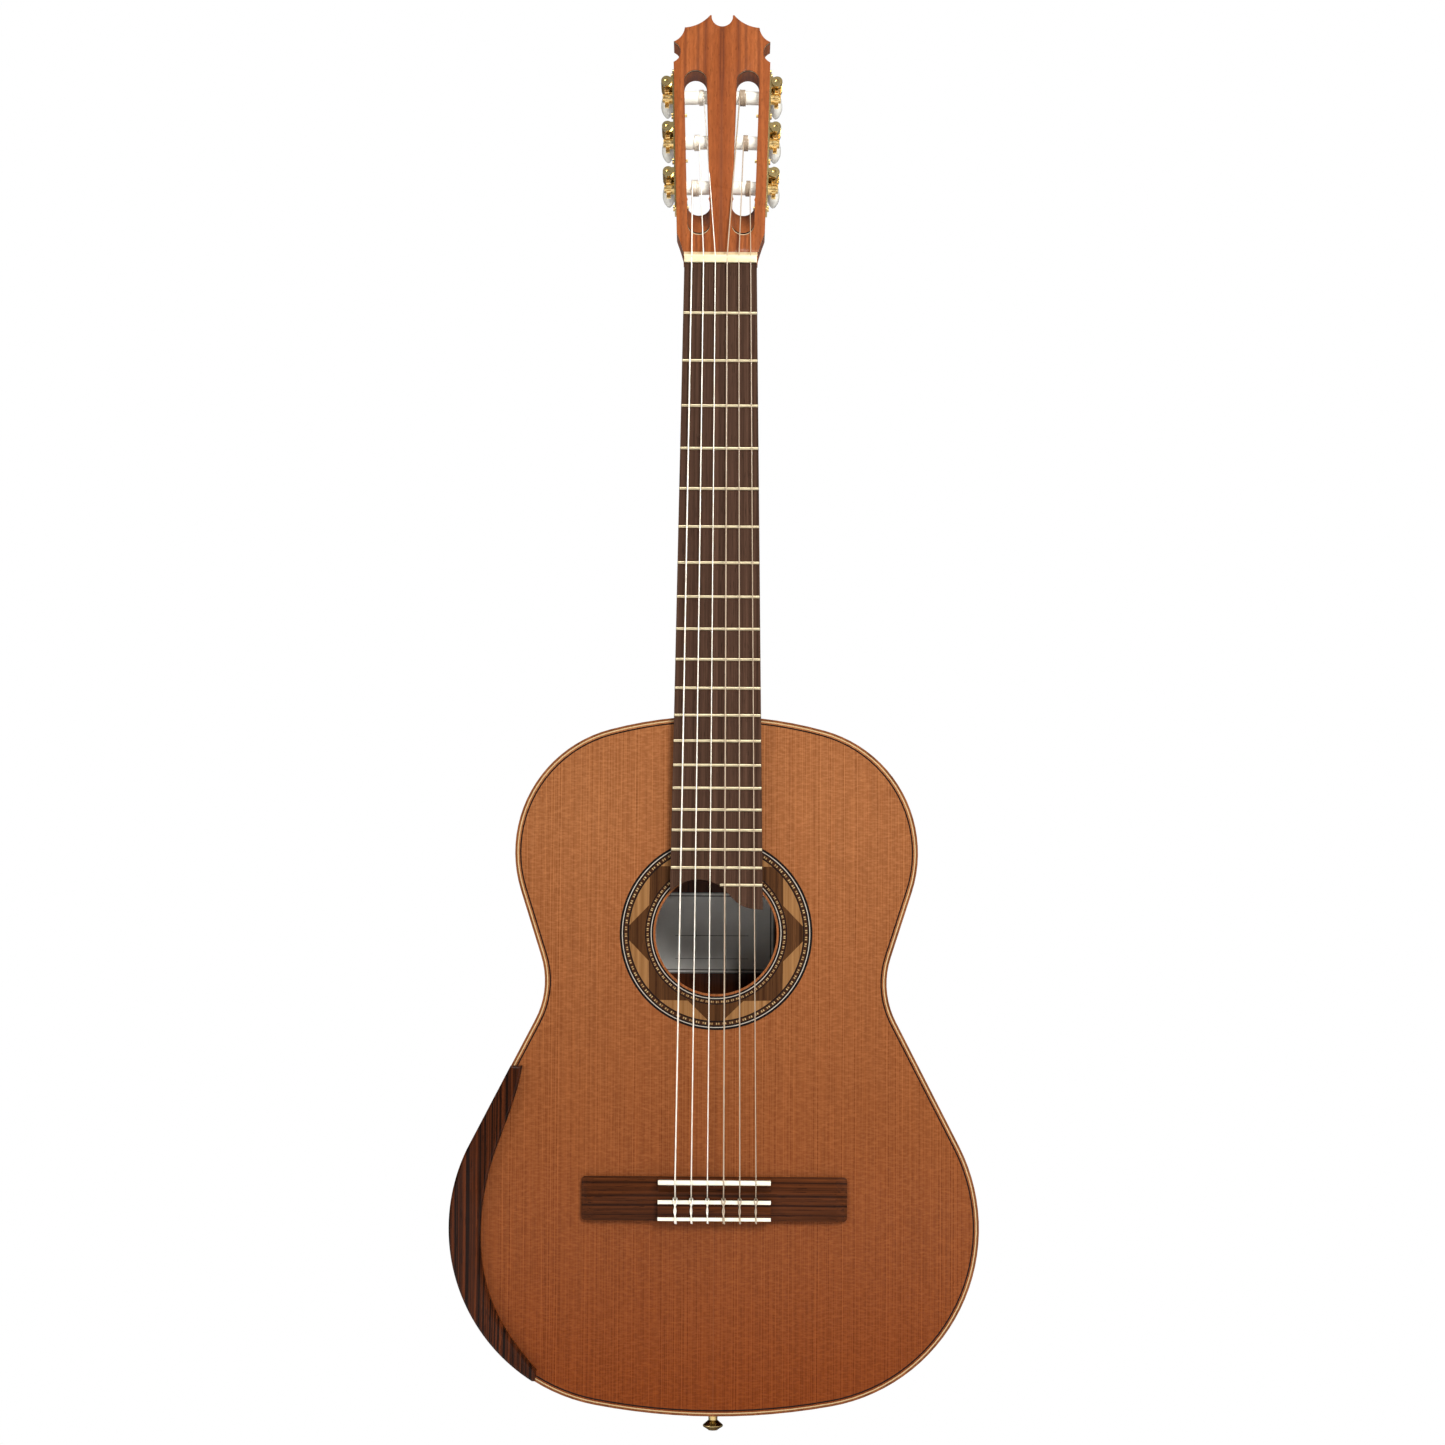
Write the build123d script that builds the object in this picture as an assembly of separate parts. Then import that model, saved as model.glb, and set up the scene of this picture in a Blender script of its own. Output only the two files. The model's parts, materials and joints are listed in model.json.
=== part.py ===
from build123d import *
import os
from math import atan2, cos, degrees, hypot, pi, radians, sin, sqrt, tan

# Classical guitar with a slotted head, six strings, an armrest and a strap button.
# Frame: millimetres. +Z runs up the neck to the head, +Y towards the back plate, +X to the treble side.
# The origin is the middle of the nut's front face, on the playing surface of the fingerboard.

# ---------------------------------------------------------------- driving dimensions
scale_length = 650.0            # nut to the saddle, before compensation
saddle_compensation = 2.5       # saddle front edge beyond the scale length
nut_width = 52.0
board_width_12th = 61.8         # fingerboard width at the twelfth fret
board_thickness = 6.0
full_frets = 19                 # frets over the whole board; one more sits on the treble side only

body_length = 492.5
upper_bout_width = 285.8
# the outline keeps its curves when the body is made longer or shorter: each is a share of its length
upper_bout_drop = 0.196954 * body_length    # widest line of the upper bout below the body joint
upper_bout_radius = 0.182741 * body_length
waist_width = 241.8
waist_drop = 0.383756 * body_length
waist_radius = 0.119797 * body_length
lower_bout_width = 373.0
lower_bout_drop = 0.732995 * body_length
lower_bout_radius = 0.255838 * body_length
body_depth = 101.3              # soundboard face to the back at its deepest
deepest_drop = 295.0            # deepest place, below the body joint
back_arch_radius = 6000.0

top_thickness = 2.4
back_thickness = 2.5
rib_thickness = 2.2
binding_width = 1.6
binding_depth = 6.0
light_line_width = 0.8
black_line_width = 1.0
line_depth = 1.6
lining_width = 6.0
lining_depth = 12.0

soundhole_radius = 43.0
soundhole_drop = 154.4          # soundhole centre below the body joint
rosette_depth = 1.4

neck_depth_nut = 15.0           # neck wood behind the fingerboard
neck_depth_heel = 16.5
heel_rise = 62.0                # height of the heel's sweep up the neck
heel_cap_rise = 13.0
heel_half_width = 11.5
heel_cap_thickness = 2.5

head_angle = 8.5
head_thickness = 20.0
headplate_thickness = 1.2
veneer_thickness = 1.9          # pale and black veneers under the headplate
head_length = 183.4
head_half_width_low = 31.7
head_half_width_high = 35.2
slot_radius = 8.2

roller_pitch = 35.0
roller_first = 52.7             # lowest roller above the foot of the head
roller_radius = 5.1
roller_depth = 10.5             # roller axis behind the front of the head
roller_clearance = 0.15
post_seat = 5.5                 # how far a roller runs into the middle post
plate_thickness = 1.2
plate_length = 108.4
plate_width = 17.0
worm_out = 5.4                  # worm axis outside the side of the head
gear_teeth = 14
gear_pitch_radius = 6.2
worm_pitch_radius = 3.2
tooth_height = 1.6
gear_width = 3.0
button_length = 21.0
button_height = 20.0
button_thickness = 7.6

nut_length = 5.8
nut_height = 2.4                # top of the nut above the playing surface
saddle_thickness = 3.2
saddle_height = 6.3             # crown of the saddle above the playing surface's plane
bridge_width = 187.0
bridge_length = 30.6
tie_block_half_width = 39.7
tie_block_height = 9.0
tie_block_length = 14.3
string_hole_height = 4.0

string_spread_nut = 42.2        # first to sixth string, centre to centre
string_spread_saddle = 56.7
string_shift_nut = 0.45         # middle of the six strings, towards the treble side
string_shift_saddle = 0.8
string_diameters = [1.09, 0.89, 0.76, 1.02, 0.82, 0.72]   # low E to high E
string_clearance = 0.06

strap_button_height = 16.0
strap_button_radius = 7.2
strap_button_depth = 42.0       # button axis behind the soundboard's face

# ---------------------------------------------------------------- derived places
os.makedirs("parts", exist_ok=True)
board_under = board_thickness
top_face = board_under
top_inner = top_face + top_thickness
joint_z = -scale_length / 2
tail_z = joint_z - body_length
hole_z = joint_z - soundhole_drop
saddle_front = -(scale_length + saddle_compensation)
saddle_z = saddle_front - saddle_thickness / 2
edge_width = binding_width + light_line_width + black_line_width
lining_inset = rib_thickness + lining_width
brace_inset = lining_inset + 0.5
far = 400.0                     # reach of cutting blocks, past every face of the guitar

FRONT = Plane(origin=(0, 0, 0), x_dir=(1, 0, 0), z_dir=(0, -1, 0))


def slab(face, y_front, y_back):
    """Solid between two depths from a face drawn in (x, z)."""
    return extrude(Pos(0, y_front, 0) * (FRONT * face), amount=y_back - y_front, dir=(0, 1, 0))


def block(x0, x1, y0, y1, z0, z1):
    """Box between two corners."""
    return Pos((x0 + x1) / 2, (y0 + y1) / 2, (z0 + z1) / 2) * Box(x1 - x0, y1 - y0, z1 - z0)


def save(name, *solids):
    """Writes one node; several solids make a group of separate pieces."""
    pieces = [s for shape in solids for s in shape.solids()]
    export_step(pieces[0] if len(pieces) == 1 else Compound(children=pieces), f"parts/{name}.step")


# ---------------------------------------------------------------- body outline
def cap_radius(rise, bout_x, bout_radius):
    """Radius of the end arc that meets a bout arc smoothly and crosses the centre line square."""
    return (bout_x ** 2 + rise ** 2 - bout_radius ** 2) / (2 * (rise - bout_radius))


def crossing(bout, waist):
    """Ends of the straight line between a bout arc and the waist arc that curves the other way."""
    (bx, bz, br), (wx, wz, wr) = bout, waist
    distance = hypot(wx - bx, wz - bz)
    along = atan2(wz - bz, wx - bx)
    turn = atan2(sqrt(distance ** 2 - (br + wr) ** 2), br + wr)
    angle = along + (turn if bz > wz else -turn)
    return ((bx + br * cos(angle), bz + br * sin(angle)), (wx - wr * cos(angle), wz - wr * sin(angle)))


def arc_between(circle, start, end, concave=False):
    """Arc of a circle from start to end, on the side away from the centre line (or towards it)."""
    cx, cz, r = circle
    mx, mz = (start[0] + end[0]) / 2 - cx, (start[1] + end[1]) / 2 - cz
    size = hypot(mx, mz)
    return ThreePointArc(start, (cx + r * mx / size, cz + r * mz / size), end)


def outline(inset=0.0):
    """The guitar's outline as a face in (x, z), drawn in from the edge by inset."""
    upper_x = upper_bout_width / 2 - upper_bout_radius
    lower_x = lower_bout_width / 2 - lower_bout_radius
    waist_x = waist_width / 2 + waist_radius
    upper_z, waist_z, lower_z = joint_z - upper_bout_drop, joint_z - waist_drop, joint_z - lower_bout_drop
    shoulder_r = cap_radius(joint_z - upper_z, upper_x, upper_bout_radius)
    tail_r = cap_radius(lower_z - tail_z, lower_x, lower_bout_radius)
    upper = (upper_x, upper_z, upper_bout_radius - inset)
    lower = (lower_x, lower_z, lower_bout_radius - inset)
    waist = (waist_x, waist_z, waist_radius + inset)
    shoulder = (0, joint_z - shoulder_r, shoulder_r - inset)
    tail = (0, tail_z + tail_r, tail_r - inset)

    def meet(end, bout):
        away = hypot(bout[0] - end[0], bout[1] - end[1])
        return (bout[0] + bout[2] * (bout[0] - end[0]) / away, bout[1] + bout[2] * (bout[1] - end[1]) / away)

    top, bottom = (0, joint_z - inset), (0, tail_z + inset)
    a, d = meet(shoulder, upper), meet(tail, lower)
    b1, b2 = crossing(upper, waist)
    c1, c2 = crossing(lower, waist)
    right = Curve() + [
        arc_between(shoulder, top, a), arc_between(upper, a, b1), Line(b1, b2),
        arc_between(waist, b2, c2), Line(c2, c1), arc_between(lower, c1, d), arc_between(tail, d, bottom),
    ]
    return make_face(right + mirror(right, about=Plane.YZ))


def rim(outer, inner):
    return outline(outer) - outline(inner)


# ---------------------------------------------------------------- arched back
back_z = joint_z - deepest_drop
back_y = top_face + body_depth - back_arch_radius


def dome(inset=0.0):
    """Ball whose skin is the back's outer surface, drawn in by inset."""
    return Pos(0, back_y, back_z) * Rot(90, 0, 0) * Sphere(back_arch_radius - inset)


def back_surface(x, z, inset=0.0):
    """Depth of the back at a place."""
    return back_y + sqrt((back_arch_radius - inset) ** 2 - x ** 2 - (z - back_z) ** 2)


inside_ball = dome(back_thickness)
outside_ball = dome()
binding_ball = dome(binding_depth)
tail_strip_half = 6.0
block_half = 32.0

# ---------------------------------------------------------------- neck and heel
heel_top = joint_z + heel_rise
heel_overrun = 9.0                                                # trimmed off flush with the back
heel_depth = back_surface(0, joint_z) - board_under
cap_plane_y = board_under + heel_depth - heel_cap_thickness
board_slope = (board_width_12th - nut_width) / scale_length      # half-widths gain half of this per mm
fold = radians(head_angle)
foot_y = board_under - headplate_thickness - veneer_thickness + 0.1
foot_z = nut_length + 2.2


def board_half(z):
    return nut_width / 2 - z * board_slope


def neck_face(z, half, depth, belly, shoulder):
    """Slice across the neck: flat against the fingerboard, rounded behind."""
    start = (half, board_under)
    right = Bezier(start, (half, board_under + shoulder * depth), (belly, board_under + depth),
                   (0, board_under + depth))
    front = Line((-half, board_under), start)
    return Pos(0, 0, z) * make_face(Curve() + [front, right, mirror(right, about=Plane.YZ)])


def heel_face(turn):
    """Slice of the heel at a point of its sweep, from the shaft (0) to the cap (90 degrees)."""
    swing = radians(turn)
    z = heel_top - (heel_rise - heel_cap_rise) * sin(swing)
    deepen = 1 - cos(swing)
    half = board_half(z)
    depth = neck_depth_heel + (heel_depth + heel_overrun - neck_depth_heel) * deepen
    belly = 0.6 * half * (1 - deepen) + 2.2 * heel_half_width * deepen
    return neck_face(z, half, depth, belly, 0.6 - 0.35 * deepen)


nut_slice = neck_face(0, board_half(0), neck_depth_nut, 0.6 * board_half(0), 0.6)
heel_slices = [heel_face(turn) for turn in range(0, 91, 10)]
heel_root = Pos(0, 0, -heel_cap_rise - 6) * heel_face(90)
shaft = loft([Pos(0, 0, foot_z + 4) * nut_slice, nut_slice, *heel_slices, heel_root], ruled=True)

HEAD = Plane(origin=(0, foot_y, foot_z), x_dir=(1, 0, 0), z_dir=(0, -cos(fold), sin(fold)))
notch_bottom = head_length - 8.9
crest_x, inner_cove_x, outer_cove_x = 7.7, 15.0, 27.3
shoulder_s = head_length - 9.9
corner_s = head_length - 20.9
side_notch_s = head_length - 36.8
side_start_s = 15.5


def head_outline():
    """The head seen square on: flared foot, long tapered sides, side notches and a coved crest."""
    low, high = head_half_width_low, head_half_width_high
    right = Curve() + [
        Line((0, -12), (board_half(0) + 0.4, -12)),
        Line((board_half(0) + 0.4, -12), (board_half(0) + 0.8, 0)),
        ThreePointArc((board_half(0) + 0.8, 0), (low - 2.4, 8.5), (low, side_start_s)),
        Line((low, side_start_s), (high, side_notch_s)),
        ThreePointArc((high, side_notch_s), (high - 5.0, (side_notch_s + corner_s) / 2 + 1), (high, corner_s)),
        ThreePointArc((high, corner_s), (high - 5.2, corner_s + 4), (outer_cove_x, shoulder_s)),
        ThreePointArc((outer_cove_x, shoulder_s), (inner_cove_x + 1.6, shoulder_s + 3.2),
                      (crest_x + 1.0, head_length)),
        Line((crest_x + 1.0, head_length), (crest_x, head_length - 0.3)),
        ThreePointArc((crest_x, head_length - 0.3), (0.71 * crest_x, notch_bottom + 2.3), (0, notch_bottom)),
    ]
    return make_face(right + mirror(right, about=Plane.YZ))


def head_layer(front, back):
    """A layer of the head between two depths behind its face."""
    return extrude(HEAD.offset(-front) * head_outline(), amount=-(back - front))


side_lean = atan2(head_half_width_high - head_half_width_low, side_notch_s - side_start_s)
slot_low_s, slot_high_s = 35.8, head_length - 42.9
ramp_foot_s = 12.5              # where the strings' ramp comes out at the head's face
slot_lean = degrees(side_lean) * 1.1
slot_mid = ((slot_low_s + slot_high_s) / 2, 17.85)


def slot_place(s):
    """Middle of a head slot at a height, on the treble side."""
    return slot_mid[1] + (s - slot_mid[0]) * tan(radians(slot_lean))


def slot_cutter(side):
    """Through slot with a ramp at its foot for the strings."""
    long_slot = SlotOverall(slot_high_s - slot_low_s, 2 * slot_radius)
    placed = Pos(side * slot_mid[1], slot_mid[0]) * Rot(0, 0, 90 - side * slot_lean) * long_slot
    through = extrude(HEAD.offset(20) * placed, amount=-80)
    # the ramp is the same slot, two widths long, pushed in on a slant until it meets the slot's foot at the back
    ramp_run = slot_low_s - ramp_foot_s
    ramp_length = 4 * slot_radius
    ramp_s = ramp_foot_s + ramp_length / 2
    ramp_slot = SlotOverall(ramp_length, 2 * slot_radius)
    mouth = HEAD * (Pos(side * slot_place(ramp_s), ramp_s) * Rot(0, 0, 90 - side * slot_lean) * ramp_slot)
    way = HEAD.y_dir * ramp_run - HEAD.z_dir * head_thickness
    ramp = extrude(mouth, amount=hypot(ramp_run, head_thickness), dir=way)
    return through + ramp + extrude(mouth, amount=12)


slots = slot_cutter(1) + slot_cutter(-1)
head_wood = head_layer(headplate_thickness + veneer_thickness, head_thickness)
# the back of the head dies into the neck over a slope, and its foot stops behind the nut
slope = Plane(origin=(0, board_under + neck_depth_nut * 0.55, -2), z_dir=(0, cos(radians(52)), -sin(radians(52))))
head_wood -= slope * Pos(0, 0, 40) * Box(120, 120, 80)
head_wood -= block(-60, 60, -60, board_under + 40, -60, 0)
headplate = head_layer(0, headplate_thickness)
head_veneer = head_layer(headplate_thickness, headplate_thickness + veneer_thickness)
plate_foot = nut_length + 2.7
headplate = (headplate - block(-60, 60, -60, 60, -60, plate_foot)) - slots
head_veneer = (head_veneer - block(-60, 60, -60, 60, -60, plate_foot)) - slots
foot_strip = block(-board_half(0) - 0.4, board_half(0) + 0.4, foot_y + 0.3, board_under, nut_length, plate_foot)

tenon_half, tenon_long, tenon_deep = 11.0, 16.0, 72.0
shaft -= slab(outline(), -20, far)
shaft -= block(-60, 60, board_under + heel_depth, far, joint_z - 30, joint_z + 90)
heel_cap = shaft & block(-60, 60, cap_plane_y, far, joint_z - 30, joint_z + 90)
shaft -= block(-60, 60, cap_plane_y, far, joint_z - 30, joint_z + 90)
tenon_front = top_face + binding_depth
tenon = block(-tenon_half, tenon_half, tenon_front, tenon_front + tenon_deep, joint_z - tenon_long, joint_z + 2)
neck_front = block(-60, 60, -60, board_under, -far, plate_foot)
neck = (shaft + tenon + (head_wood - neck_front)) - headplate - head_veneer - slots - foot_strip

# ---------------------------------------------------------------- tuning machines
side_mid_s = 88.0
side_mid_x = head_half_width_low + (side_mid_s - side_start_s) * tan(side_lean)
out_dir = HEAD.x_dir * cos(side_lean) - HEAD.y_dir * sin(side_lean)
up_dir = HEAD.x_dir * sin(side_lean) + HEAD.y_dir * cos(side_lean)
side_origin = HEAD.origin + HEAD.x_dir * side_mid_x + HEAD.y_dir * side_mid_s - HEAD.z_dir * roller_depth
# machine frame: X out of the side of the head, Y back, Z up along the head
MACHINE = Plane(origin=side_origin, x_dir=out_dir, z_dir=up_dir)
roller_places = [roller_first + k * roller_pitch - side_mid_s for k in range(3)]
centre_distance = gear_pitch_radius + worm_pitch_radius
pitch = 2 * pi * gear_pitch_radius / gear_teeth
spindle_radius = 2.4
shaft_radius = 1.8
turning_gap = 0.08
lug_inner, lug_outer = 6.6, 8.4
worm_root = worm_pitch_radius - tooth_height / 2 - 0.1
gear_root = gear_pitch_radius - tooth_height / 2 - 0.15


def along_x(radius, x0, x1, z=0.0):
    return Pos((x0 + x1) / 2, 0, z) * Rot(0, 90, 0) * Cylinder(radius, x1 - x0)


def along_y(radius, y0, y1, x=0.0, z=0.0):
    return Pos(x, (y0 + y1) / 2, z) * Rot(90, 0, 0) * Cylinder(radius, y1 - y0)


def make_gear():
    """Toothed wheel on its steel spindle, with the screw that holds it."""
    inner = worm_out - gear_width / 2
    wheel = along_x(gear_root, inner, inner + gear_width)
    tip, root, high = 0.36, 0.62, gear_pitch_radius + tooth_height / 2
    tooth = make_face(Polyline((-root, gear_root - 0.4), (-tip, high), (tip, high), (root, gear_root - 0.4), close=True))
    tooth = Pos(inner, 0, 0) * extrude(Plane(origin=(0, 0, 0), x_dir=(0, 1, 0), z_dir=(1, 0, 0)) * tooth, gear_width)
    for k in range(gear_teeth):
        wheel += Rot(360 / gear_teeth * k, 0, 0) * tooth
    wheel += along_x(4.4, plate_thickness + turning_gap, inner)
    screw = along_x(3.1, inner + gear_width, inner + gear_width + 1.6)
    screw -= block(inner + gear_width + 0.9, inner + gear_width + 3, -0.4, 0.4, -4, 4)
    return wheel + along_x(spindle_radius, -9.0, plate_thickness + turning_gap) + screw


def make_worm():
    """Screw-shaped shaft: front disc, thread between the lugs, and the stem for the button."""
    core = along_y(worm_root, -lug_inner + turning_gap, lug_inner - turning_gap)
    reach = lug_inner - 1.0
    coil = Helix(pitch=pitch, height=2 * reach, radius=worm_root - 0.15, center=(0, 0, -reach))
    foot, tip, high = 0.62, 0.42, worm_pitch_radius + tooth_height / 2 - worm_root + 0.15
    start = coil @ 0
    section = Plane(origin=start, x_dir=(1, 0, 0), z_dir=coil % 0)
    ridge = section * make_face(Polyline((0, -foot), (high, -tip), (high, tip), (0, foot), close=True))
    thread = sweep(ridge, path=coil, is_frenet=True)
    # the thread's gap faces the gear at rest
    thread = Rot(0, 0, 90 - 360 * (reach / pitch + 0.5)) * thread
    thread = Rot(-90, 0, 0) * thread
    worm = core + thread
    worm += along_y(shaft_radius, -lug_outer - turning_gap, -lug_inner + turning_gap)
    worm += along_y(3.9, -lug_outer - 1.9, -lug_outer - turning_gap)
    worm -= along_y(1.3, -lug_outer - 3, -lug_outer - 0.9)
    worm += along_y(shaft_radius, lug_inner - turning_gap, button_start + 10)
    worm += along_y(2.9, lug_outer + turning_gap, lug_outer + 1.4)
    return Pos(worm_out, 0, centre_distance) * worm


button_start = head_thickness - roller_depth + 8.0


def button_face(y, thickness, height, edge):
    """Slice of a button: thickest on its stem, thin at its upper and lower edges."""
    half = height / 2
    right = Spline((0, half), (edge / 2, half - 0.9), (thickness / 2, 0), (edge / 2, 0.9 - half), (0, -half),
                   tangents=[(1, 0), (-1, 0)])
    face = make_face(Curve() + [right, mirror(right, about=Plane.YZ)])
    return Plane(origin=(worm_out, y, centre_distance), x_dir=(1, 0, 0), z_dir=(0, 1, 0)) * face


def make_button(stem):
    body = loft([
        button_face(button_start, button_thickness * 0.75, button_height * 0.42, 3.0),
        button_face(button_start + button_length * 0.3, button_thickness, button_height * 0.86, 4.2),
        button_face(button_start + button_length * 0.75, button_thickness, button_height, 4.2),
        button_face(button_start + button_length, button_thickness * 0.6, button_height * 0.88, 2.6),
    ])
    return body - stem


def make_plate():
    """Side plate with two lugs for every worm and holes for spindles and screws."""
    half = plate_width / 2
    plate = block(0, plate_thickness, -half, half, -plate_length / 2, plate_length / 2)
    plate = fillet(plate.edges().filter_by(Axis.X), 2.0)
    for place in roller_places:
        axis_z = place + centre_distance
        for near, other in ((-lug_outer, -lug_inner), (lug_inner, lug_outer)):
            lug = block(plate_thickness / 2, worm_out, near, other, axis_z - 3.9, axis_z + 3.9)
            lug += along_y(3.9, near, other, worm_out, axis_z)
            plate += lug - block(-5, 0, -20, 20, -far, far)
        plate -= along_y(shaft_radius + turning_gap, -12, 12, worm_out, axis_z)
        plate -= along_x(spindle_radius + turning_gap, -1, plate_thickness + 1, place)
    return plate


screw_places = [-50.3, -14.2, 21.0, 51.6]


def make_screw(z):
    head_part = Pos(plate_thickness, 0, z) * Rot(0, 90, 0) * Cylinder(2.3, 1.1, align=(Align.CENTER, Align.CENTER, Align.MIN))
    head_part -= block(plate_thickness + 0.6, plate_thickness + 2, -0.3, 0.3, z - 3, z + 3)
    return head_part + along_x(1.2, -9, plate_thickness, z)


# ---------------------------------------------------------------- fingerboard, frets and nut
hole_top = hole_z + soundhole_radius
board_end_right = hole_z + 17.1
board_end_left = hole_z + 27.6
end_step_x = 1.3                # where the board's end turns down to its longer treble side


def board_face():
    """The fingerboard from above: tapered, with a waved end over the soundhole."""
    left, right = -board_half(board_end_left) - 1.5, board_half(board_end_right) + 1.5
    end = Curve() + [
        ThreePointArc((left, board_end_left), (-10.9, board_end_left + 10.3),
                      (end_step_x, board_end_left + 6.6)),
        Spline((end_step_x, board_end_left + 6.6), (9.9, board_end_left - 1.1), (15.7, board_end_right + 3.9),
               (23.7, board_end_right + 0.7), (right, board_end_right)),
    ]
    sides = Polyline((right, board_end_right), (right, 5), (left, 5), (left, board_end_left))
    low = board_end_right - 5
    taper = make_face(Polyline((-nut_width / 2, 0), (nut_width / 2, 0), (board_half(low), low),
                               (-board_half(low), low), close=True))
    return make_face(Curve() + [end, sides]) & taper


def fret_place(number):
    return -scale_length * (1 - 2 ** (-number / 12))


fingerboard = slab(board_face(), 0, board_thickness)
crown_profile = make_face(Curve() + [
    ThreePointArc((-1.05, 0), (0, -1.1), (1.05, 0)),
    Polyline((1.05, 0), (0.3, 0), (0.3, 1.6), (-0.3, 1.6), (-0.3, 0), (-1.05, 0)),
])
CROSS = Plane(origin=(0, 0, 0), x_dir=(0, 0, 1), z_dir=(-1, 0, 0))   # local x runs up the neck, local y back
frets = []
for number in range(1, full_frets + 2):
    z = fret_place(number)
    half = board_half(z) - 0.3
    start = -half if number <= full_frets else end_step_x + 1.2
    wire = Pos(start, 0, z) * extrude(CROSS * crown_profile, half - start, dir=(1, 0, 0))
    fingerboard -= wire
    frets.append(wire)

# ---------------------------------------------------------------- string paths
saddle_crown = -saddle_height - 0.3
string_y_nut = -nut_height + 0.4
string_y_saddle = saddle_crown - 0.3
tie_front = saddle_front - 14.0
tie_back = tie_front - tie_block_length
tie_top = board_under - tie_block_height
hole_y = board_under - string_hole_height
leave_x = [20.8, 16.1, 13.3]     # where the strings leave the low, middle and high rollers


def head_point(x, s, depth):
    return HEAD.origin + HEAD.x_dir * x + HEAD.y_dir * s - HEAD.z_dir * depth


def machine_to_head(step):
    """Height along the head of a roller, where its string leaves it."""
    return side_mid_s + roller_places[step] * cos(side_lean) + (side_mid_x - leave_x[step]) * sin(side_lean)


def string_path(index):
    """Bends of one string from its roller, over nut and saddle, through the tie block and back over it."""
    r = string_diameters[index] / 2
    x_nut = string_shift_nut - string_spread_nut / 2 + string_spread_nut / 5 * index
    x_saddle = string_shift_saddle - string_spread_saddle / 2 + string_spread_saddle / 5 * index
    step = index if index < 3 else 5 - index
    side = -1 if index < 3 else 1
    nut_back = Vector(x_nut, string_y_nut + 0.35, nut_length)
    nut_front = Vector(x_nut, string_y_nut, 0.8)
    axis = head_point(side * leave_x[step], machine_to_head(step), roller_depth)
    reach = hypot(axis.Y - nut_back.Y, axis.Z - nut_back.Z)
    turn = atan2(axis.Y - nut_back.Y, axis.Z - nut_back.Z)
    wound = roller_radius + r + 0.02
    swing = sqrt(reach ** 2 - wound ** 2)
    lean = turn - atan2(wound, swing)
    stop = swing - sqrt((wound + 2 * r + 0.25) ** 2 - wound ** 2)
    share = stop / swing
    end = Vector(x_nut + (axis.X - x_nut) * share, nut_back.Y + stop * sin(lean), nut_back.Z + stop * cos(lean))
    over = tie_top - r - 0.02
    slack = 0.35
    return r, [
        end, nut_back, nut_front,
        Vector(x_saddle, string_y_saddle, saddle_z),
        Vector(x_saddle, hole_y, tie_front + slack),
        Vector(x_saddle, hole_y, tie_back - r - slack),
        Vector(x_saddle + 0.4, over, tie_back - r - slack),
        Vector(x_saddle + 1.2, over, tie_front + r + slack),
    ]


def rod(start, end, radius):
    way = end - start
    plane = Plane(origin=start, z_dir=way)
    return plane * Cylinder(radius, way.length, align=(Align.CENTER, Align.CENTER, Align.MIN))


def make_string(index, extra=0.0):
    r, bends = string_path(index)
    r += extra
    runs = [rod(start, end, r) for start, end in zip(bends, bends[1:])]
    knees = [Pos(*bend) * Sphere(r + 0.004) for bend in bends[1:-1]]
    return runs[0].fuse(*runs[1:], *knees)


strings = [make_string(index) for index in range(6)]
string_room = [make_string(index, string_clearance) for index in range(6)]

nut = block(-nut_width / 2, nut_width / 2, -nut_height, board_under, 0, nut_length)
nut = fillet(nut.edges().filter_by(Axis.X).group_by(Axis.Y)[0].sort_by(Axis.Z)[-1:], 2.0)
nut = fillet(nut.edges().filter_by(Axis.X).group_by(Axis.Y)[0].sort_by(Axis.Z)[:1], 0.4)

# ---------------------------------------------------------------- bridge
bridge_front = saddle_front + 2.0
bridge_back = bridge_front - bridge_length
half_bridge, half_tie = bridge_width / 2, tie_block_half_width
tie_back = min(tie_back, bridge_back + 0.4)
wing_height, saddle_bed = 4.2, 7.0
wing = make_face(Polyline((-half_bridge, board_under), (-half_bridge, board_under - 2.4),
                          (-half_bridge + 9, board_under - wing_height), (half_bridge - 9, board_under - wing_height),
                          (half_bridge, board_under - 2.4), (half_bridge, board_under), close=True))
bridge = Pos(0, 0, bridge_back) * extrude(wing, bridge_length)
bridge = fillet(bridge.edges().filter_by(Axis.Y), 2.5)
centre_profile = make_face(Polyline(
    (bridge_front, board_under), (bridge_front, board_under - wing_height - 0.6),
    (saddle_front + 1.0, board_under - saddle_bed), (saddle_front - saddle_thickness - 1.6, board_under - saddle_bed),
    (tie_front + 2.2, board_under - 2.0), (tie_front, board_under - 2.0), (tie_front, tie_top),
    (tie_back, tie_top), (tie_back, board_under), close=True))
centre = Pos(-half_tie, 0, 0) * extrude(CROSS * centre_profile, 2 * half_tie, dir=(1, 0, 0))
bridge += centre
saddle = block(-half_tie + 0.2, half_tie - 0.2, saddle_crown, board_under - 2.5,
               saddle_front - saddle_thickness, saddle_front)
saddle = fillet(saddle.edges().filter_by(Axis.X).group_by(Axis.Y)[0], 1.2)
bridge -= block(-half_tie + 0.2, half_tie - 0.2, saddle_crown - 1, board_under - 2.5,
                saddle_front - saddle_thickness, saddle_front)
bone_front = block(-half_tie, half_tie, tie_top, tie_top + 1.2, tie_front - 2.6, tie_front)
bone_back = block(-half_tie, half_tie, tie_top, tie_top + 1.2, tie_back, tie_back + 2.4)
bridge = bridge - bone_front - bone_back
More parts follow.
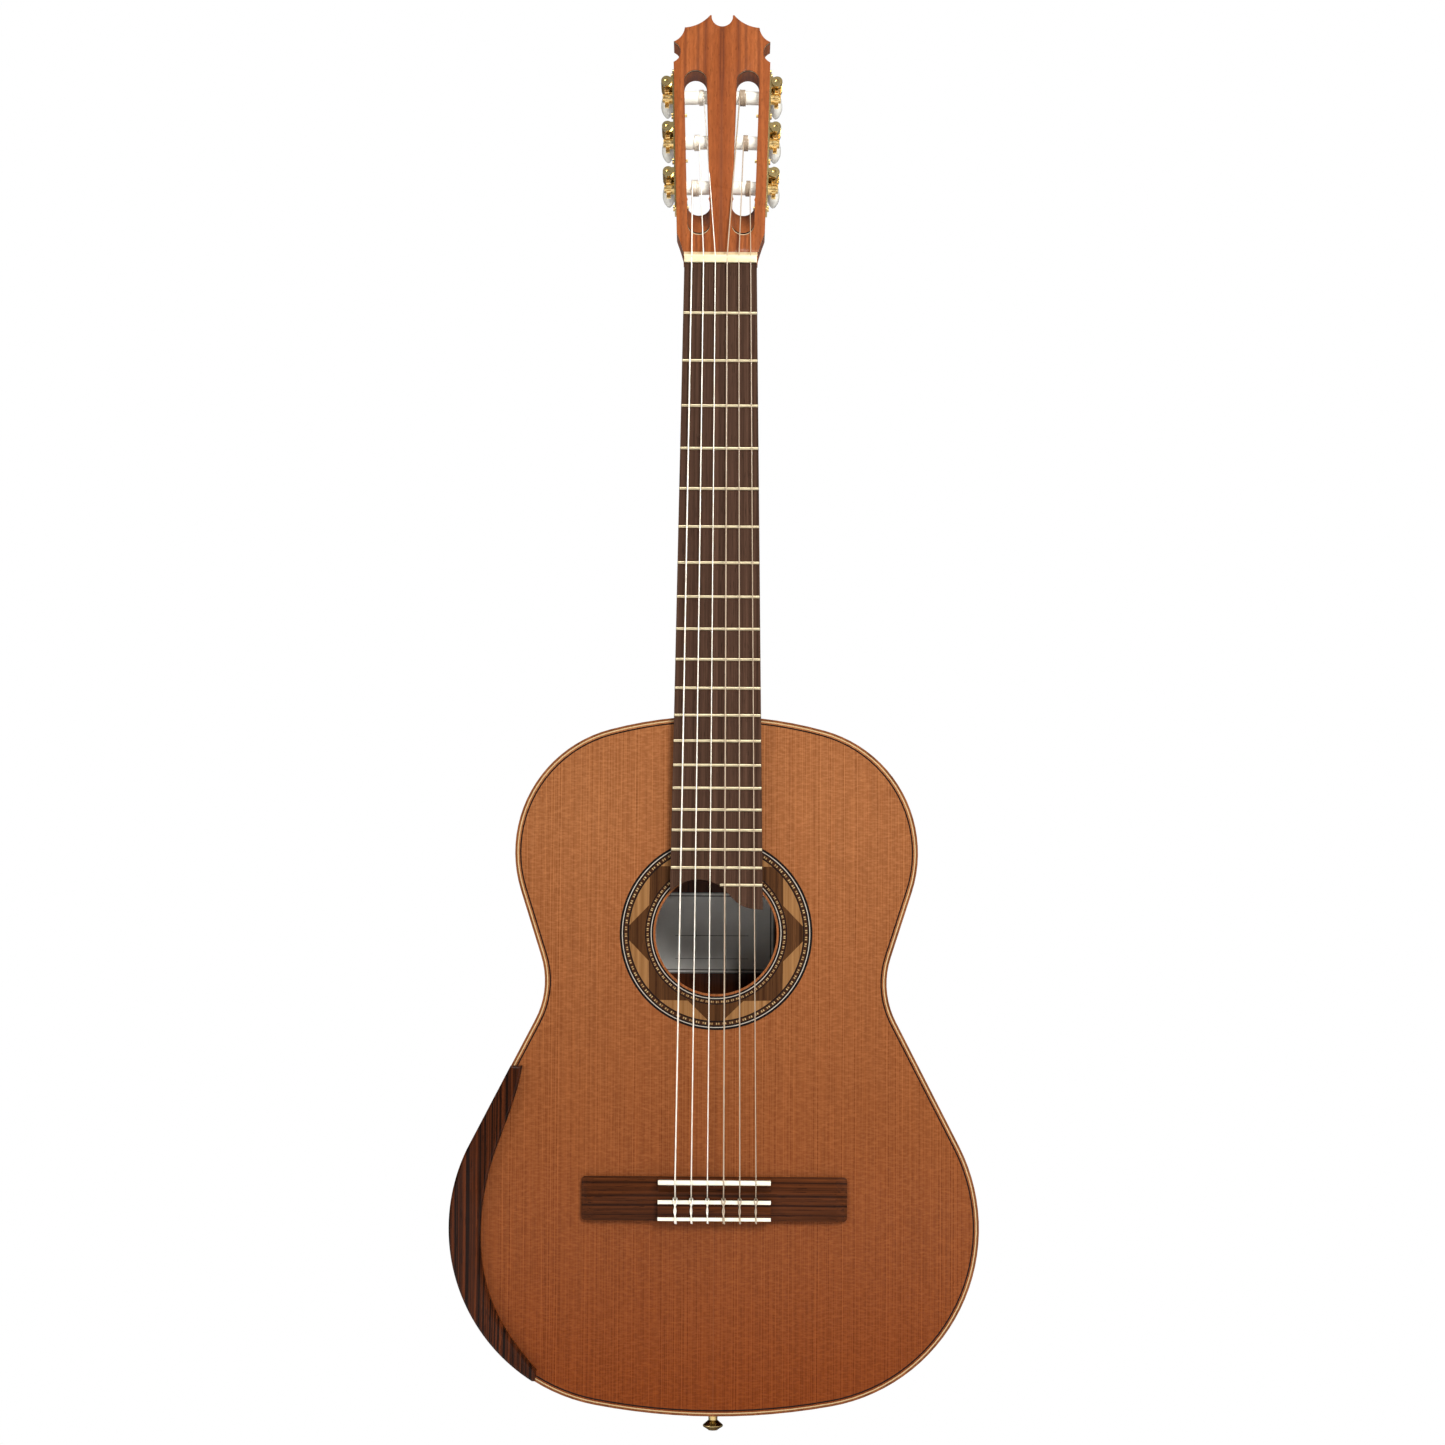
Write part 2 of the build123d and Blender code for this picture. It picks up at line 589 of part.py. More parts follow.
for index, room in enumerate(string_room):
    headplate -= room
    head_veneer -= room
    nut -= room
    saddle -= room
    bridge -= room
    bore_x = string_path(index)[1][5].X
    bridge -= Pos(bore_x, hole_y, (tie_front + tie_back) / 2) * Cylinder(0.9, tie_block_length + 4)

# ---------------------------------------------------------------- body
interior = slab(outline(rib_thickness), top_inner, far) & inside_ball


def ring(radius, inner, y0=top_face, y1=top_face + rosette_depth):
    disc = Circle(radius) - Circle(inner)
    return slab(Pos(0, hole_z) * disc, y0, y1)


top_bindings = slab(rim(0, binding_width), top_face, top_face + binding_depth)
light_line = slab(rim(binding_width, binding_width + light_line_width), top_face, top_face + line_depth)
dark_line = slab(rim(edge_width, edge_width + black_line_width), top_face, top_face + line_depth)

band_outer, band_inner = 61.7, 50.3
dark_rings = [(68.3, 66.8), (66.0, 65.1), (62.6, 61.7), (50.3, 49.6), (47.4, 46.5), (45.5, 44.5)]
light_rings = [(66.8, 66.0), (46.5, 45.5)]
mosaic_rings = [(65.1, 62.6), (49.6, 47.4)]
wedge_half = radians(17.5)
corner = (band_outer * cos(wedge_half), band_outer * sin(wedge_half))
wedge = make_face(Polyline((band_inner + 1.2, 0), corner, (corner[0] * 1.2, corner[1] * 1.2),
                           (corner[0] * 1.2, -corner[1] * 1.2), (corner[0], -corner[1]), close=True))
wedge = wedge & Circle(band_outer)
wedges = [slab(Pos(0, hole_z) * Rot(0, 0, 22.5 + 45 * k) * wedge, top_face, top_face + rosette_depth) for k in range(8)]
star = ring(band_outer, band_inner)
for piece in wedges:
    star -= piece

soundboard = slab(outline(), top_face, top_inner) - ring(68.3, 44.5)
soundboard -= slab(Pos(0, hole_z) * Circle(soundhole_radius), 0, 30)
soundboard = soundboard - top_bindings - light_line - dark_line

ribs = (slab(rim(0, rib_thickness), top_inner, far) & inside_ball) - top_bindings
back_bindings = (slab(rim(0, binding_width), 60, far) & outside_ball) - binding_ball
ribs -= back_bindings
tail_strip = ribs & block(-tail_strip_half, tail_strip_half, 0, far, tail_z - 10, tail_z + 30)
ribs = ribs - tenon - block(-tail_strip_half, tail_strip_half, 0, far, tail_z - 10, tail_z + 30)
side_treble = ribs & block(0, far, -10, far, -1000, 0)
side_bass = ribs & block(-far, 0, -10, far, -1000, 0)

plate = (slab(outline(), 60, far) & outside_ball) - inside_ball - back_bindings
strip_half = 3.0
back_strip = plate & block(-strip_half, strip_half, 0, far, -1000, 0)
back_plates = plate - block(-strip_half, strip_half, 0, far, -1000, 0)

neck_block = interior & block(-block_half, block_half, 0, far, joint_z - 28, joint_z)
neck_block -= tenon
tail_block = interior & block(-block_half, block_half, 0, far, tail_z, tail_z + 18)
lining_zone = slab(rim(rib_thickness, lining_inset), top_inner, far) & inside_ball
lining_zone -= block(-block_half, block_half, 0, far, joint_z - 28, joint_z)
lining_zone -= block(-block_half, block_half, 0, far, tail_z, tail_z + 18)
top_lining = lining_zone & block(-far, far, top_inner, top_inner + lining_depth, -1000, 0)
back_lining = lining_zone - dome(back_thickness + lining_depth)

inner_zone = slab(outline(brace_inset), top_inner, far) & inside_ball


def bar(start, end, width, height):
    """Brace glued under the soundboard between two places."""
    (x0, z0), (x1, z1) = start, end
    length = hypot(x1 - x0, z1 - z0)
    beam = Box(length, height, width)
    lean = degrees(atan2(z1 - z0, x1 - x0))
    return inner_zone & (Pos((x0 + x1) / 2, top_inner + height / 2, (z0 + z1) / 2) * Rot(0, -lean, 0) * beam)


upper_bar_z, lower_bar_z = joint_z - 78, hole_z - soundhole_radius - 22
lower_z = joint_z - lower_bout_drop
cross_braces = [
    bar((-far, upper_bar_z), (far, upper_bar_z), 9, 16),
    bar((-far, lower_bar_z), (far, lower_bar_z), 9, 16),
]
patch = slab(Pos(0, hole_z) * (Circle(soundhole_radius + 15) - Circle(soundhole_radius)), top_inner, top_inner + 1.6)
fan_braces = []
for k in range(-3, 4):
    top_end = (k * 13.0, lower_bar_z - 6)
    foot_end = (k * 30.0, tail_z + 62 - 3 * abs(k))
    fan_braces.append(bar(top_end, foot_end, 4.5, 5.5))
for side in (-1, 1):
    fan_braces.append(bar((side * 10, tail_z + 32), (side * 122, tail_z + 60 + 12), 4.5, 5.5))

back_braces = []
label_low, label_high = hole_z - 30, hole_z + 30
label_left, label_right = -49.5, 43.0
for z, height in ((label_high + 40, 14), (label_low - 24, 14), (joint_z - 345, 14)):
    cross = slab(outline(brace_inset), 60, far) & block(-far, far, 60, far, z - 4, z + 4) & inside_ball
    back_braces.append(cross - dome(back_thickness + height))
label = (block(label_left, label_right, 60, far, label_low, label_high) & inside_ball) - dome(back_thickness + 0.3)

# ---------------------------------------------------------------- armrest on the bass side
rest_width, rest_height, rest_chamfer = 22.5, 7.0, 1.6
rest_tip_width = 7.2            # the upper end of the rest is cut off square where it gets this narrow
lower_x = lower_bout_width / 2 - lower_bout_radius
rest_shape = [(57, -0.53), (42, 0.50), (26, 0.86), (1, 1.0), (-16, 0.90), (-31, 0.75), (-46, 0.57), (-57.5, 0.35)]
inner_edge = []
for angle, share in rest_shape:
    reach = lower_bout_radius - share * rest_width
    inner_edge.append((-lower_x - reach * cos(radians(angle)), lower_z + reach * sin(radians(angle))))
far_corner = -lower_bout_width / 2 - 60
rest_face = make_face(Curve() + [
    Spline(*inner_edge),
    Polyline(inner_edge[-1], (inner_edge[-1][0] - 1.0, inner_edge[-1][1] - 7.5), (far_corner, inner_edge[-1][1] - 7.5),
             (far_corner, inner_edge[0][1]), inner_edge[0]),
])
rest_face = rest_face & outline()
armrest = slab(rest_face, top_face - rest_height, top_face)
rest_tip = max(corner.Y for corner in (rest_face & outline(rest_tip_width)).vertices())
armrest -= block(-far, 0, -far, far, rest_tip, rest_tip + far)
armrest = chamfer(armrest.faces().sort_by(Axis.Y)[0].edges(), rest_chamfer)

# ---------------------------------------------------------------- strap button
axis_y = top_face + strap_button_depth
rim_z = strap_button_height - 4.2
profile = make_face(Curve() + [
    Polyline((0, 0), (5.6, 0), (5.6, 1.4), (3.4, 4.2), (3.2, rim_z - 3.0), (strap_button_radius - 0.5, rim_z)),
    ThreePointArc((strap_button_radius - 0.5, rim_z), (strap_button_radius, rim_z + 0.9),
                  (strap_button_radius - 0.5, rim_z + 1.8)),
    Polyline((strap_button_radius - 0.5, rim_z + 1.8), (3.6, strap_button_height - 0.4), (3.2, strap_button_height),
             (0, strap_button_height), (0, 0)),
])
turned = revolve(Plane.XZ * profile, Axis.Z, 360)
strap_button = Pos(0, axis_y, tail_z) * Rot(180, 0, 0) * turned
screw_core = Pos(0, axis_y, tail_z) * Cylinder(1.7, 15, align=(Align.CENTER, Align.CENTER, Align.MIN))
strap_button += screw_core
tail_strip -= screw_core
tail_block -= screw_core

# ---------------------------------------------------------------- tuning machine assembly
gear, worm, plate_part = make_gear(), make_worm(), make_plate()
stem = along_y(shaft_radius, lug_inner, button_start + 10, worm_out, centre_distance)
button = make_button(stem)
rollers, gears, worms, buttons = {}, {}, {}, {}
screws = [make_screw(z) for z in screw_places]
for screw in screws:
    plate_part -= screw


def placed(shape, side):
    """Sets a machine part on the treble side, or its mirror image on the bass side."""
    there = MACHINE.location * shape
    return there if side > 0 else mirror(there, about=Plane.YZ)


spindle_bore = along_x(spindle_radius, -9.0, 0)
for step, place in enumerate(roller_places):
    post_x = slot_place(side_mid_s + place) - slot_radius - post_seat
    inner_end = -(side_mid_x + place * sin(side_lean) - post_x) / cos(side_lean)
    barrel = along_x(roller_radius, inner_end, -0.3)
    hole = Pos(0, 0, place) * along_x(roller_radius + roller_clearance, inner_end - 0.3, 3)
    for side in (-1, 1):
        number = 6 - step if side < 0 else 1 + step
        r = string_diameters[6 - number] / 2
        inward = 1 if step == 0 else -1     # the lowest string is wound towards the middle of the head
        wound_x = leave_x[step] - inward * 4 * r
        wind_at = -(side_mid_x - wound_x + place * sin(side_lean)) / cos(side_lean)
        wound = along_x(roller_radius + 2 * r, wind_at - 5 * r, wind_at + 5 * r)
        body = barrel + wound
        body -= spindle_bore
        rollers[number] = placed(Pos(0, 0, place) * body, side)
        gears[number] = placed(Pos(0, 0, place) * gear, side)
        worms[number] = placed(Pos(0, 0, place) * worm, side)
        buttons[number] = placed(Pos(0, 0, place) * button, side)
        neck -= placed(hole, side)
plates = [placed(plate_part, side) for side in (-1, 1)]
all_screws = [placed(screw, side) for side in (-1, 1) for screw in screws]
for screw in all_screws:
    neck -= screw

# ---------------------------------------------------------------- nodes
save("soundboard", soundboard)
save("back_plates", back_plates)
save("centre_strips", back_strip, tail_strip)
save("side_bass", side_bass)
save("side_treble", side_treble)
save("top_bindings", top_bindings)
save("top_purflings", light_line, dark_line)
save("back_bindings", back_bindings)
save("linings", top_lining, back_lining)
save("neck_block", neck_block)
save("tail_block", tail_block)
save("fan_braces", *fan_braces)
save("cross_braces", *cross_braces, patch)
save("back_braces", *back_braces)
save("label", label)
save("rosette_lines_dark", *[ring(*pair) for pair in dark_rings])
save("rosette_lines_light", *[ring(*pair) for pair in light_rings])
save("rosette_mosaic_rings", *[ring(*pair) for pair in mosaic_rings])
save("rosette_dark_star", star)
save("rosette_light_wedges", *wedges)
save("armrest", armrest)
save("bridge", bridge)
save("saddle", saddle)
save("tie_block_edging", bone_front, bone_back)
save("strap_button", strap_button)
save("neck", neck)
save("headplate", headplate)
save("head_veneer", head_veneer, foot_strip)
save("fingerboard", fingerboard)
save("frets", *frets)
save("nut", nut)
save("bass_strings", *strings[:3])
save("treble_strings", *strings[3:])
save("tuner_plates", *plates)
save("plate_screws", *all_screws)
save("heel_cap", heel_cap)
for number in range(1, 7):
    save(f"barrel_{number}", rollers[number])
    save(f"gear_{number}", gears[number])
    save(f"worm_{number}", worms[number])
    save(f"button_{number}", buttons[number])
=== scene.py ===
import bpy, bmesh, json
from math import cos, pi, radians, sin
from mathutils import Matrix, Vector


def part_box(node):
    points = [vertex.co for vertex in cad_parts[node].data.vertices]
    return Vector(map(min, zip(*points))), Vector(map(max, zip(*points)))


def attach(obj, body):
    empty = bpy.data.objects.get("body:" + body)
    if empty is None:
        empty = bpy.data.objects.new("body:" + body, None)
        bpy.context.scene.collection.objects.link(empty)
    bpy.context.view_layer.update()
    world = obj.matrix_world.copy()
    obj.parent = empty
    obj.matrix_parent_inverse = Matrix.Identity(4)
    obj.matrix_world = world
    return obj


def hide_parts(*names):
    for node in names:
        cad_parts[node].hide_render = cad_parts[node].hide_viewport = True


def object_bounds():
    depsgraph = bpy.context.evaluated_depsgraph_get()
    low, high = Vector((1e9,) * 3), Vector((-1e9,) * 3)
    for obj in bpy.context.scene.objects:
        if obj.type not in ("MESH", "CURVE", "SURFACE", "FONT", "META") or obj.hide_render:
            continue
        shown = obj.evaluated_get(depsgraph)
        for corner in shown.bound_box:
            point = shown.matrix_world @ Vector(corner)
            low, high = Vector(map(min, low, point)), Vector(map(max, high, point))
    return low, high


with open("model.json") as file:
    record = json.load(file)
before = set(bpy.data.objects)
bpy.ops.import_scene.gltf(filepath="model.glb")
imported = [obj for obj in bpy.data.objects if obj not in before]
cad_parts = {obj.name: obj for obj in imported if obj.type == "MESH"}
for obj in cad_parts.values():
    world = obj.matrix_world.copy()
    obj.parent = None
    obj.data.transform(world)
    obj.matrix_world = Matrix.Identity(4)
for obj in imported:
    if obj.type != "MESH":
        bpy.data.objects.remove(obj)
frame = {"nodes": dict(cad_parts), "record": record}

cad_box = [list(corner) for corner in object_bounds()]
nodes = frame["nodes"]

# ---- Soundboard
# The front plate is bookmatched cedar, about 2.4 mm thick, glued to the linings all round.
# Its fine straight growth rings run up the guitar under a gloss lacquer, with faint silk across them.


def new_group(name, inputs, outputs):
    tree = bpy.data.node_groups.new(name, "ShaderNodeTree")
    for label, kind, value in inputs:
        socket = tree.interface.new_socket(label, in_out="INPUT", socket_type=kind)
        if value is not None:
            socket.default_value = value
    for label, kind in outputs:
        tree.interface.new_socket(label, in_out="OUTPUT", socket_type=kind)
    return tree, tree.nodes.new("NodeGroupInput"), tree.nodes.new("NodeGroupOutput")


def calculate(tree, operation, first, second=None, clamp=False):
    node = tree.nodes.new("ShaderNodeMath")
    node.operation = operation
    node.use_clamp = clamp
    for socket, value in zip(node.inputs, (first, second)):
        if value is None:
            continue
        if isinstance(value, (int, float)):
            socket.default_value = value
        else:
            tree.links.new(value, socket)
    return node.outputs[0]


def speckle(tree, vector, scale, detail=3.0, rough=0.55, stretch=(1, 1, 1)):
    place = tree.nodes.new("ShaderNodeMapping")
    place.inputs["Scale"].default_value = stretch
    tree.links.new(vector, place.inputs["Vector"])
    noise = tree.nodes.new("ShaderNodeTexNoise")
    noise.inputs["Scale"].default_value = scale
    noise.inputs["Detail"].default_value = detail
    noise.inputs["Roughness"].default_value = rough
    tree.links.new(place.outputs[0], noise.inputs["Vector"])
    return noise.outputs["Fac"]


def build_grain():
    tree, given, result = new_group(
        "wood_grain",
        [("Vector", "NodeSocketVector", None), ("Ring Spacing", "NodeSocketFloat", 0.001),
         ("Wander", "NodeSocketFloat", 0.002)],
        [("Rings", "NodeSocketFloat"), ("Fibre", "NodeSocketFloat"), ("Flow", "NodeSocketFloat"),
         ("Pores", "NodeSocketFloat")])
    vector = given.outputs["Vector"]
    parts = tree.nodes.new("ShaderNodeSeparateXYZ")
    tree.links.new(vector, parts.inputs[0])
    drift = calculate(tree, "SUBTRACT", speckle(tree, vector, 9.0, 2.0, 0.5, (1, 1, 0.35)), 0.5)
    sideways = calculate(tree, "MULTIPLY", drift, given.outputs["Wander"])
    across = calculate(tree, "ADD", parts.outputs[0], sideways)
    rings = tree.nodes.new("ShaderNodeTexNoise")
    rings.noise_dimensions = "1D"
    rings.inputs["Scale"].default_value = 0.5
    rings.inputs["Detail"].default_value = 3.0
    rings.inputs["Roughness"].default_value = 0.62
    tree.links.new(calculate(tree, "DIVIDE", across, given.outputs["Ring Spacing"]), rings.inputs["W"])
    tree.links.new(rings.outputs["Fac"], result.inputs["Rings"])
    tree.links.new(speckle(tree, vector, 900.0, 3.0, 0.6, (1, 1, 0.025)), result.inputs["Fibre"])
    tree.links.new(speckle(tree, vector, 14.0, 3.0, 0.55, (1, 1, 0.22)), result.inputs["Flow"])
    pores = speckle(tree, vector, 1500.0, 1.0, 0.5, (1, 1, 0.05))
    tree.links.new(calculate(tree, "GREATER_THAN", pores, 0.66), result.inputs["Pores"])
    return tree


wood_grain = build_grain()


def blend_colours(tree, factor, first, second, mode="MIX"):
    mix = tree.nodes.new("ShaderNodeMix")
    mix.data_type = "RGBA"
    mix.blend_type = mode
    if isinstance(factor, (int, float)):
        mix.inputs[0].default_value = factor
    else:
        tree.links.new(factor, mix.inputs[0])
    for socket, value in ((mix.inputs[6], first), (mix.inputs[7], second)):
        if isinstance(value, (tuple, list)):
            socket.default_value = (*value, 1)
        else:
            tree.links.new(value, socket)
    return mix.outputs[2]


def between(tree, value, low, high):
    """Stretches a value so that low gives 0 and high gives 1."""
    node = tree.nodes.new("ShaderNodeMapRange")
    node.inputs["From Min"].default_value = low
    node.inputs["From Max"].default_value = high
    tree.links.new(value, node.inputs["Value"])
    return node.outputs[0]


def start_material(name, turn=(0, 0, 0), mirrored=False):
    """A new material, its Principled shader, and the object's own place turned to the grain."""
    material = bpy.data.materials.new(name)
    material.use_nodes = True
    tree = material.node_tree
    shader = tree.nodes["Principled BSDF"]
    shader.inputs["Specular IOR Level"].default_value = 0.04
    place = tree.nodes.new("ShaderNodeTexCoord").outputs["Object"]
    if mirrored:
        parts = tree.nodes.new("ShaderNodeSeparateXYZ")
        joined = tree.nodes.new("ShaderNodeCombineXYZ")
        tree.links.new(place, parts.inputs[0])
        tree.links.new(calculate(tree, "ABSOLUTE", parts.outputs[0]), joined.inputs[0])
        tree.links.new(parts.outputs[1], joined.inputs[1])
        tree.links.new(parts.outputs[2], joined.inputs[2])
        place = joined.outputs[0]
    turned = tree.nodes.new("ShaderNodeMapping")
    turned.inputs["Rotation"].default_value = turn
    tree.links.new(place, turned.inputs["Vector"])
    return material, tree, shader, turned.outputs[0]


def add_bump(tree, shader, height, strength, distance=0.0002):
    bump = tree.nodes.new("ShaderNodeBump")
    bump.inputs["Strength"].default_value = strength
    bump.inputs["Distance"].default_value = distance
    tree.links.new(height, bump.inputs["Height"])
    tree.links.new(bump.outputs[0], shader.inputs["Normal"])


def wood(name, early, late, spacing=0.001, wander=0.002, rings=(0.35, 0.7), fibre=0.35, flow=0.3, pores=0.0,
         rough=0.32, coat=0.6, turn=(0, 0, 0), mirrored=False, bump=0.05):
    """Lacquered or oiled wood: growth rings from an early to a late colour, with fibres, flow and pores."""
    material, tree, shader, place = start_material(name, turn, mirrored)
    grain = tree.nodes.new("ShaderNodeGroup")
    grain.node_tree = wood_grain
    grain.inputs["Ring Spacing"].default_value = spacing
    grain.inputs["Wander"].default_value = wander
    tree.links.new(place, grain.inputs["Vector"])
    ring = between(tree, grain.outputs["Rings"], *rings)
    colour = blend_colours(tree, ring, early, late)
    fibres = between(tree, grain.outputs["Fibre"], 0.3, 0.72)
    darker = tuple(channel * 0.45 for channel in late)
    colour = blend_colours(tree, calculate(tree, "MULTIPLY", fibres, fibre), colour, darker)
    patches = between(tree, grain.outputs["Flow"], 0.35, 0.75)
    colour = blend_colours(tree, calculate(tree, "MULTIPLY", patches, flow), colour, late)
    if pores:
        hollow = calculate(tree, "MULTIPLY", grain.outputs["Pores"], pores)
        colour = blend_colours(tree, hollow, colour, tuple(channel * 0.2 for channel in late))
    tree.links.new(colour, shader.inputs["Base Color"])
    shader.inputs["Coat Weight"].default_value = coat
    shader.inputs["Coat Roughness"].default_value = 0.08
    sheen = calculate(tree, "ADD", calculate(tree, "MULTIPLY", fibres, 0.12), rough)
    tree.links.new(sheen, shader.inputs["Roughness"])
    add_bump(tree, shader, calculate(tree, "ADD", fibres, calculate(tree, "MULTIPLY", ring, 0.5)), bump)
    return material, tree, shader, place, colour


def finish_node(name, material):
    """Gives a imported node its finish."""
    target = nodes[name]
    target.data.materials.clear()
    target.data.materials.append(material)


cedar, tree, shader, place, colour = wood(
    "cedar_top", (0.330, 0.124, 0.042), (0.165, 0.047, 0.0125), spacing=0.0005, wander=0.003,
    rings=(0.3, 0.72), fibre=0.34, flow=0.22, rough=0.42, coat=0.08, bump=0.03)
# silk: pale flecks lying across the rings
silk = between(tree, speckle(tree, place, 620.0, 2.0, 0.6, (0.4, 1, 1.3)), 0.42, 0.75)
colour = blend_colours(tree, calculate(tree, "MULTIPLY", silk, 0.42), colour, (0.40, 0.160, 0.060))
# the plate is darker and redder towards the lower bout: partly toning, partly painted shade where the light
# from above falls off
height = tree.nodes.new("ShaderNodeSeparateXYZ")
tree.links.new(place, height.inputs[0])
toning_and_painted_shade = between(tree, height.outputs[2], -0.40, -0.82)
colour = blend_colours(tree, toning_and_painted_shade, colour, (0.62, 0.36, 0.16), "MULTIPLY")
# the joint down the middle shows as a faint line
joint = calculate(tree, "LESS_THAN", calculate(tree, "ABSOLUTE", height.outputs[0]), 0.0003)
colour = blend_colours(tree, calculate(tree, "MULTIPLY", joint, 0.4), colour, (0.12, 0.04, 0.015))
tree.links.new(colour, shader.inputs["Base Color"])
finish_node("soundboard", cedar)

# ---- Back and sides
# Two bookmatched rosewood plates make the arched back, and two bent rosewood ribs make the sides.
# They are lacquered outside and bare inside, with the grain running round the ribs.
back_wood = wood("body_wood_back", (0.170, 0.048, 0.017), (0.046, 0.013, 0.005), spacing=0.006, wander=0.03,
                 rings=(0.32, 0.68), fibre=0.4, flow=0.5, pores=0.5, rough=0.3, coat=0.5, mirrored=True)[0]
finish_node("back_plates", back_wood)
side_wood = wood("body_wood_side", (0.120, 0.036, 0.014), (0.034, 0.010, 0.004), spacing=0.006, wander=0.02,
                 rings=(0.32, 0.68), fibre=0.4, flow=0.5, pores=0.5, rough=0.3, coat=0.5,
                 turn=(0, 0, radians(-90)))[0]
finish_node("side_bass", side_wood)
finish_node("side_treble", side_wood)

# ---- Centre strips
# A narrow dark inlay with a pale line at each edge covers the back's joint, and a wider one the joint
# at the tail.
strips, tree, shader, place = start_material("inlay_strip")
parts = tree.nodes.new("ShaderNodeSeparateXYZ")
tree.links.new(place, parts.inputs[0])
offset = calculate(tree, "ABSOLUTE", parts.outputs[0])
tail = calculate(tree, "LESS_THAN", parts.outputs[2], -0.8145)
edge = calculate(tree, "ADD", calculate(tree, "MULTIPLY", tail, 0.003), 0.0020)
pale = calculate(tree, "GREATER_THAN", offset, edge)
streaks = speckle(tree, place, 1200.0, 2.0, 0.6, (1, 1, 0.05))
dark_tone = blend_colours(tree, streaks, (0.045, 0.018, 0.011), (0.012, 0.006, 0.004))
colour = blend_colours(tree, pale, dark_tone, (0.62, 0.48, 0.28))
# the inside of the strip is bare rosewood, as the plates round it are
facing = tree.nodes.new("ShaderNodeSeparateXYZ")
tree.links.new(tree.nodes.new("ShaderNodeTexCoord").outputs["Normal"], facing.inputs[0])
inward = calculate(tree, "LESS_THAN", facing.outputs[1], -0.5)
bare_tone = blend_colours(tree, streaks, (0.110, 0.033, 0.013), (0.050, 0.014, 0.006))
tree.links.new(blend_colours(tree, inward, colour, bare_tone), shader.inputs["Base Color"])
shader.inputs["Roughness"].default_value = 0.35
shader.inputs["Coat Weight"].default_value = 0.7
shader.inputs["Coat Roughness"].default_value = 0.08
finish_node("centre_strips", strips)

# ---- Bindings and edge lines
# Brown rosewood bindings are let into the corners of the body; inside them the front has one fine tan line,
# a strip of cedar, and one fine black line.
binding = wood("binding_wood", (0.24, 0.085, 0.028), (0.12, 0.036, 0.011), spacing=0.004, wander=0.01,
               fibre=0.45, flow=0.4, pores=0.4, rough=0.36, coat=0.12)[0]
finish_node("top_bindings", binding)
finish_node("back_bindings", binding)


def merged_copy(name, new_name):
    """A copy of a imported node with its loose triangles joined, as a new piece."""
    mesh = nodes[name].data.copy()
    mesh.name = new_name
    shape = bmesh.new()
    shape.from_mesh(mesh)
    bmesh.ops.remove_doubles(shape, verts=shape.verts, dist=1e-6)
    shape.to_mesh(mesh)
    shape.free()
    mesh.materials.clear()
    piece = bpy.data.objects.new(new_name, mesh)
    bpy.context.scene.collection.objects.link(piece)
    return piece


def split_islands(piece):
    """Sorts a piece's separate shells by width and returns each as the set of its faces."""
    shape = bmesh.new()
    shape.from_mesh(piece.data)
    shape.faces.ensure_lookup_table()
    left, shells = set(shape.faces), []
    while left:
        queue, shell = [next(iter(left))], set()
        while queue:
            face = queue.pop()
            if face not in left:
                continue
            left.discard(face)
            shell.add(face)
            for side in face.edges:
                queue.extend(other for other in side.link_faces if other in left)
        width = max(v.co.x for f in shell for v in f.verts) - min(v.co.x for f in shell for v in f.verts)
        shells.append((width, sorted(f.index for f in shell)))
    shape.free()
    return [faces for width, faces in sorted(shells, reverse=True)]


def line_wood(name, dark, light, rough=0.35):
    material, tree, shader, place = start_material(name)
    streaks = speckle(tree, place, 900.0, 2.0, 0.6, (1, 1, 0.3))
    tree.links.new(blend_colours(tree, streaks, dark, light), shader.inputs["Base Color"])
    shader.inputs["Roughness"].default_value = rough
    shader.inputs["Coat Weight"].default_value = 0.06
    shader.inputs["Coat Roughness"].default_value = 0.08
    return material


cream_line = line_wood("line_light", (0.38, 0.24, 0.11), (0.54, 0.38, 0.20))
black_line = line_wood("line_black", (0.004, 0.003, 0.003), (0.012, 0.008, 0.006))
edge_lines = merged_copy("top_purflings", "edge_lines_front")
edge_lines.data.materials.append(cream_line)
edge_lines.data.materials.append(black_line)
for index in split_islands(edge_lines)[1]:
    edge_lines.data.polygons[index].material_index = 1
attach(edge_lines, "guitar")
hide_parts("top_purflings")

# ---- Inside of the body
# Bare spruce and cedar: linings, neck and tail blocks, fan braces under the front, cross bars and back
# braces.
bare = wood("inner_wood", (0.60, 0.42, 0.24), (0.42, 0.25, 0.12), spacing=0.0016, wander=0.006,
            fibre=0.2, flow=0.2, rough=0.7, coat=0.0, turn=(0, radians(90), 0))[0]
for name in ("linings", "neck_block", "tail_block", "fan_braces", "cross_braces", "back_braces"):
    finish_node(name, bare)

# ---- Label
# A rectangle of pale laid paper glued to the inside of the back, ruled with two dark
# border lines and two empty writing lines.
paper, tree, shader, place = start_material("label_paper")
parts = tree.nodes.new("ShaderNodeSeparateXYZ")
tree.links.new(place, parts.inputs[0])
low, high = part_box("label")
middle = [(a + b) / 2 for a, b in zip(low, high)]
half_wide, half_high = (high[0] - low[0]) / 2, (high[2] - low[2]) / 2
across = calculate(tree, "ABSOLUTE", calculate(tree, "SUBTRACT", parts.outputs[0], middle[0]))
side_gap = calculate(tree, "SUBTRACT", half_wide, across)
height = calculate(tree, "SUBTRACT", parts.outputs[2], middle[2])
end_gap = calculate(tree, "SUBTRACT", half_high, calculate(tree, "ABSOLUTE", height))
gap = calculate(tree, "MINIMUM", side_gap, end_gap)


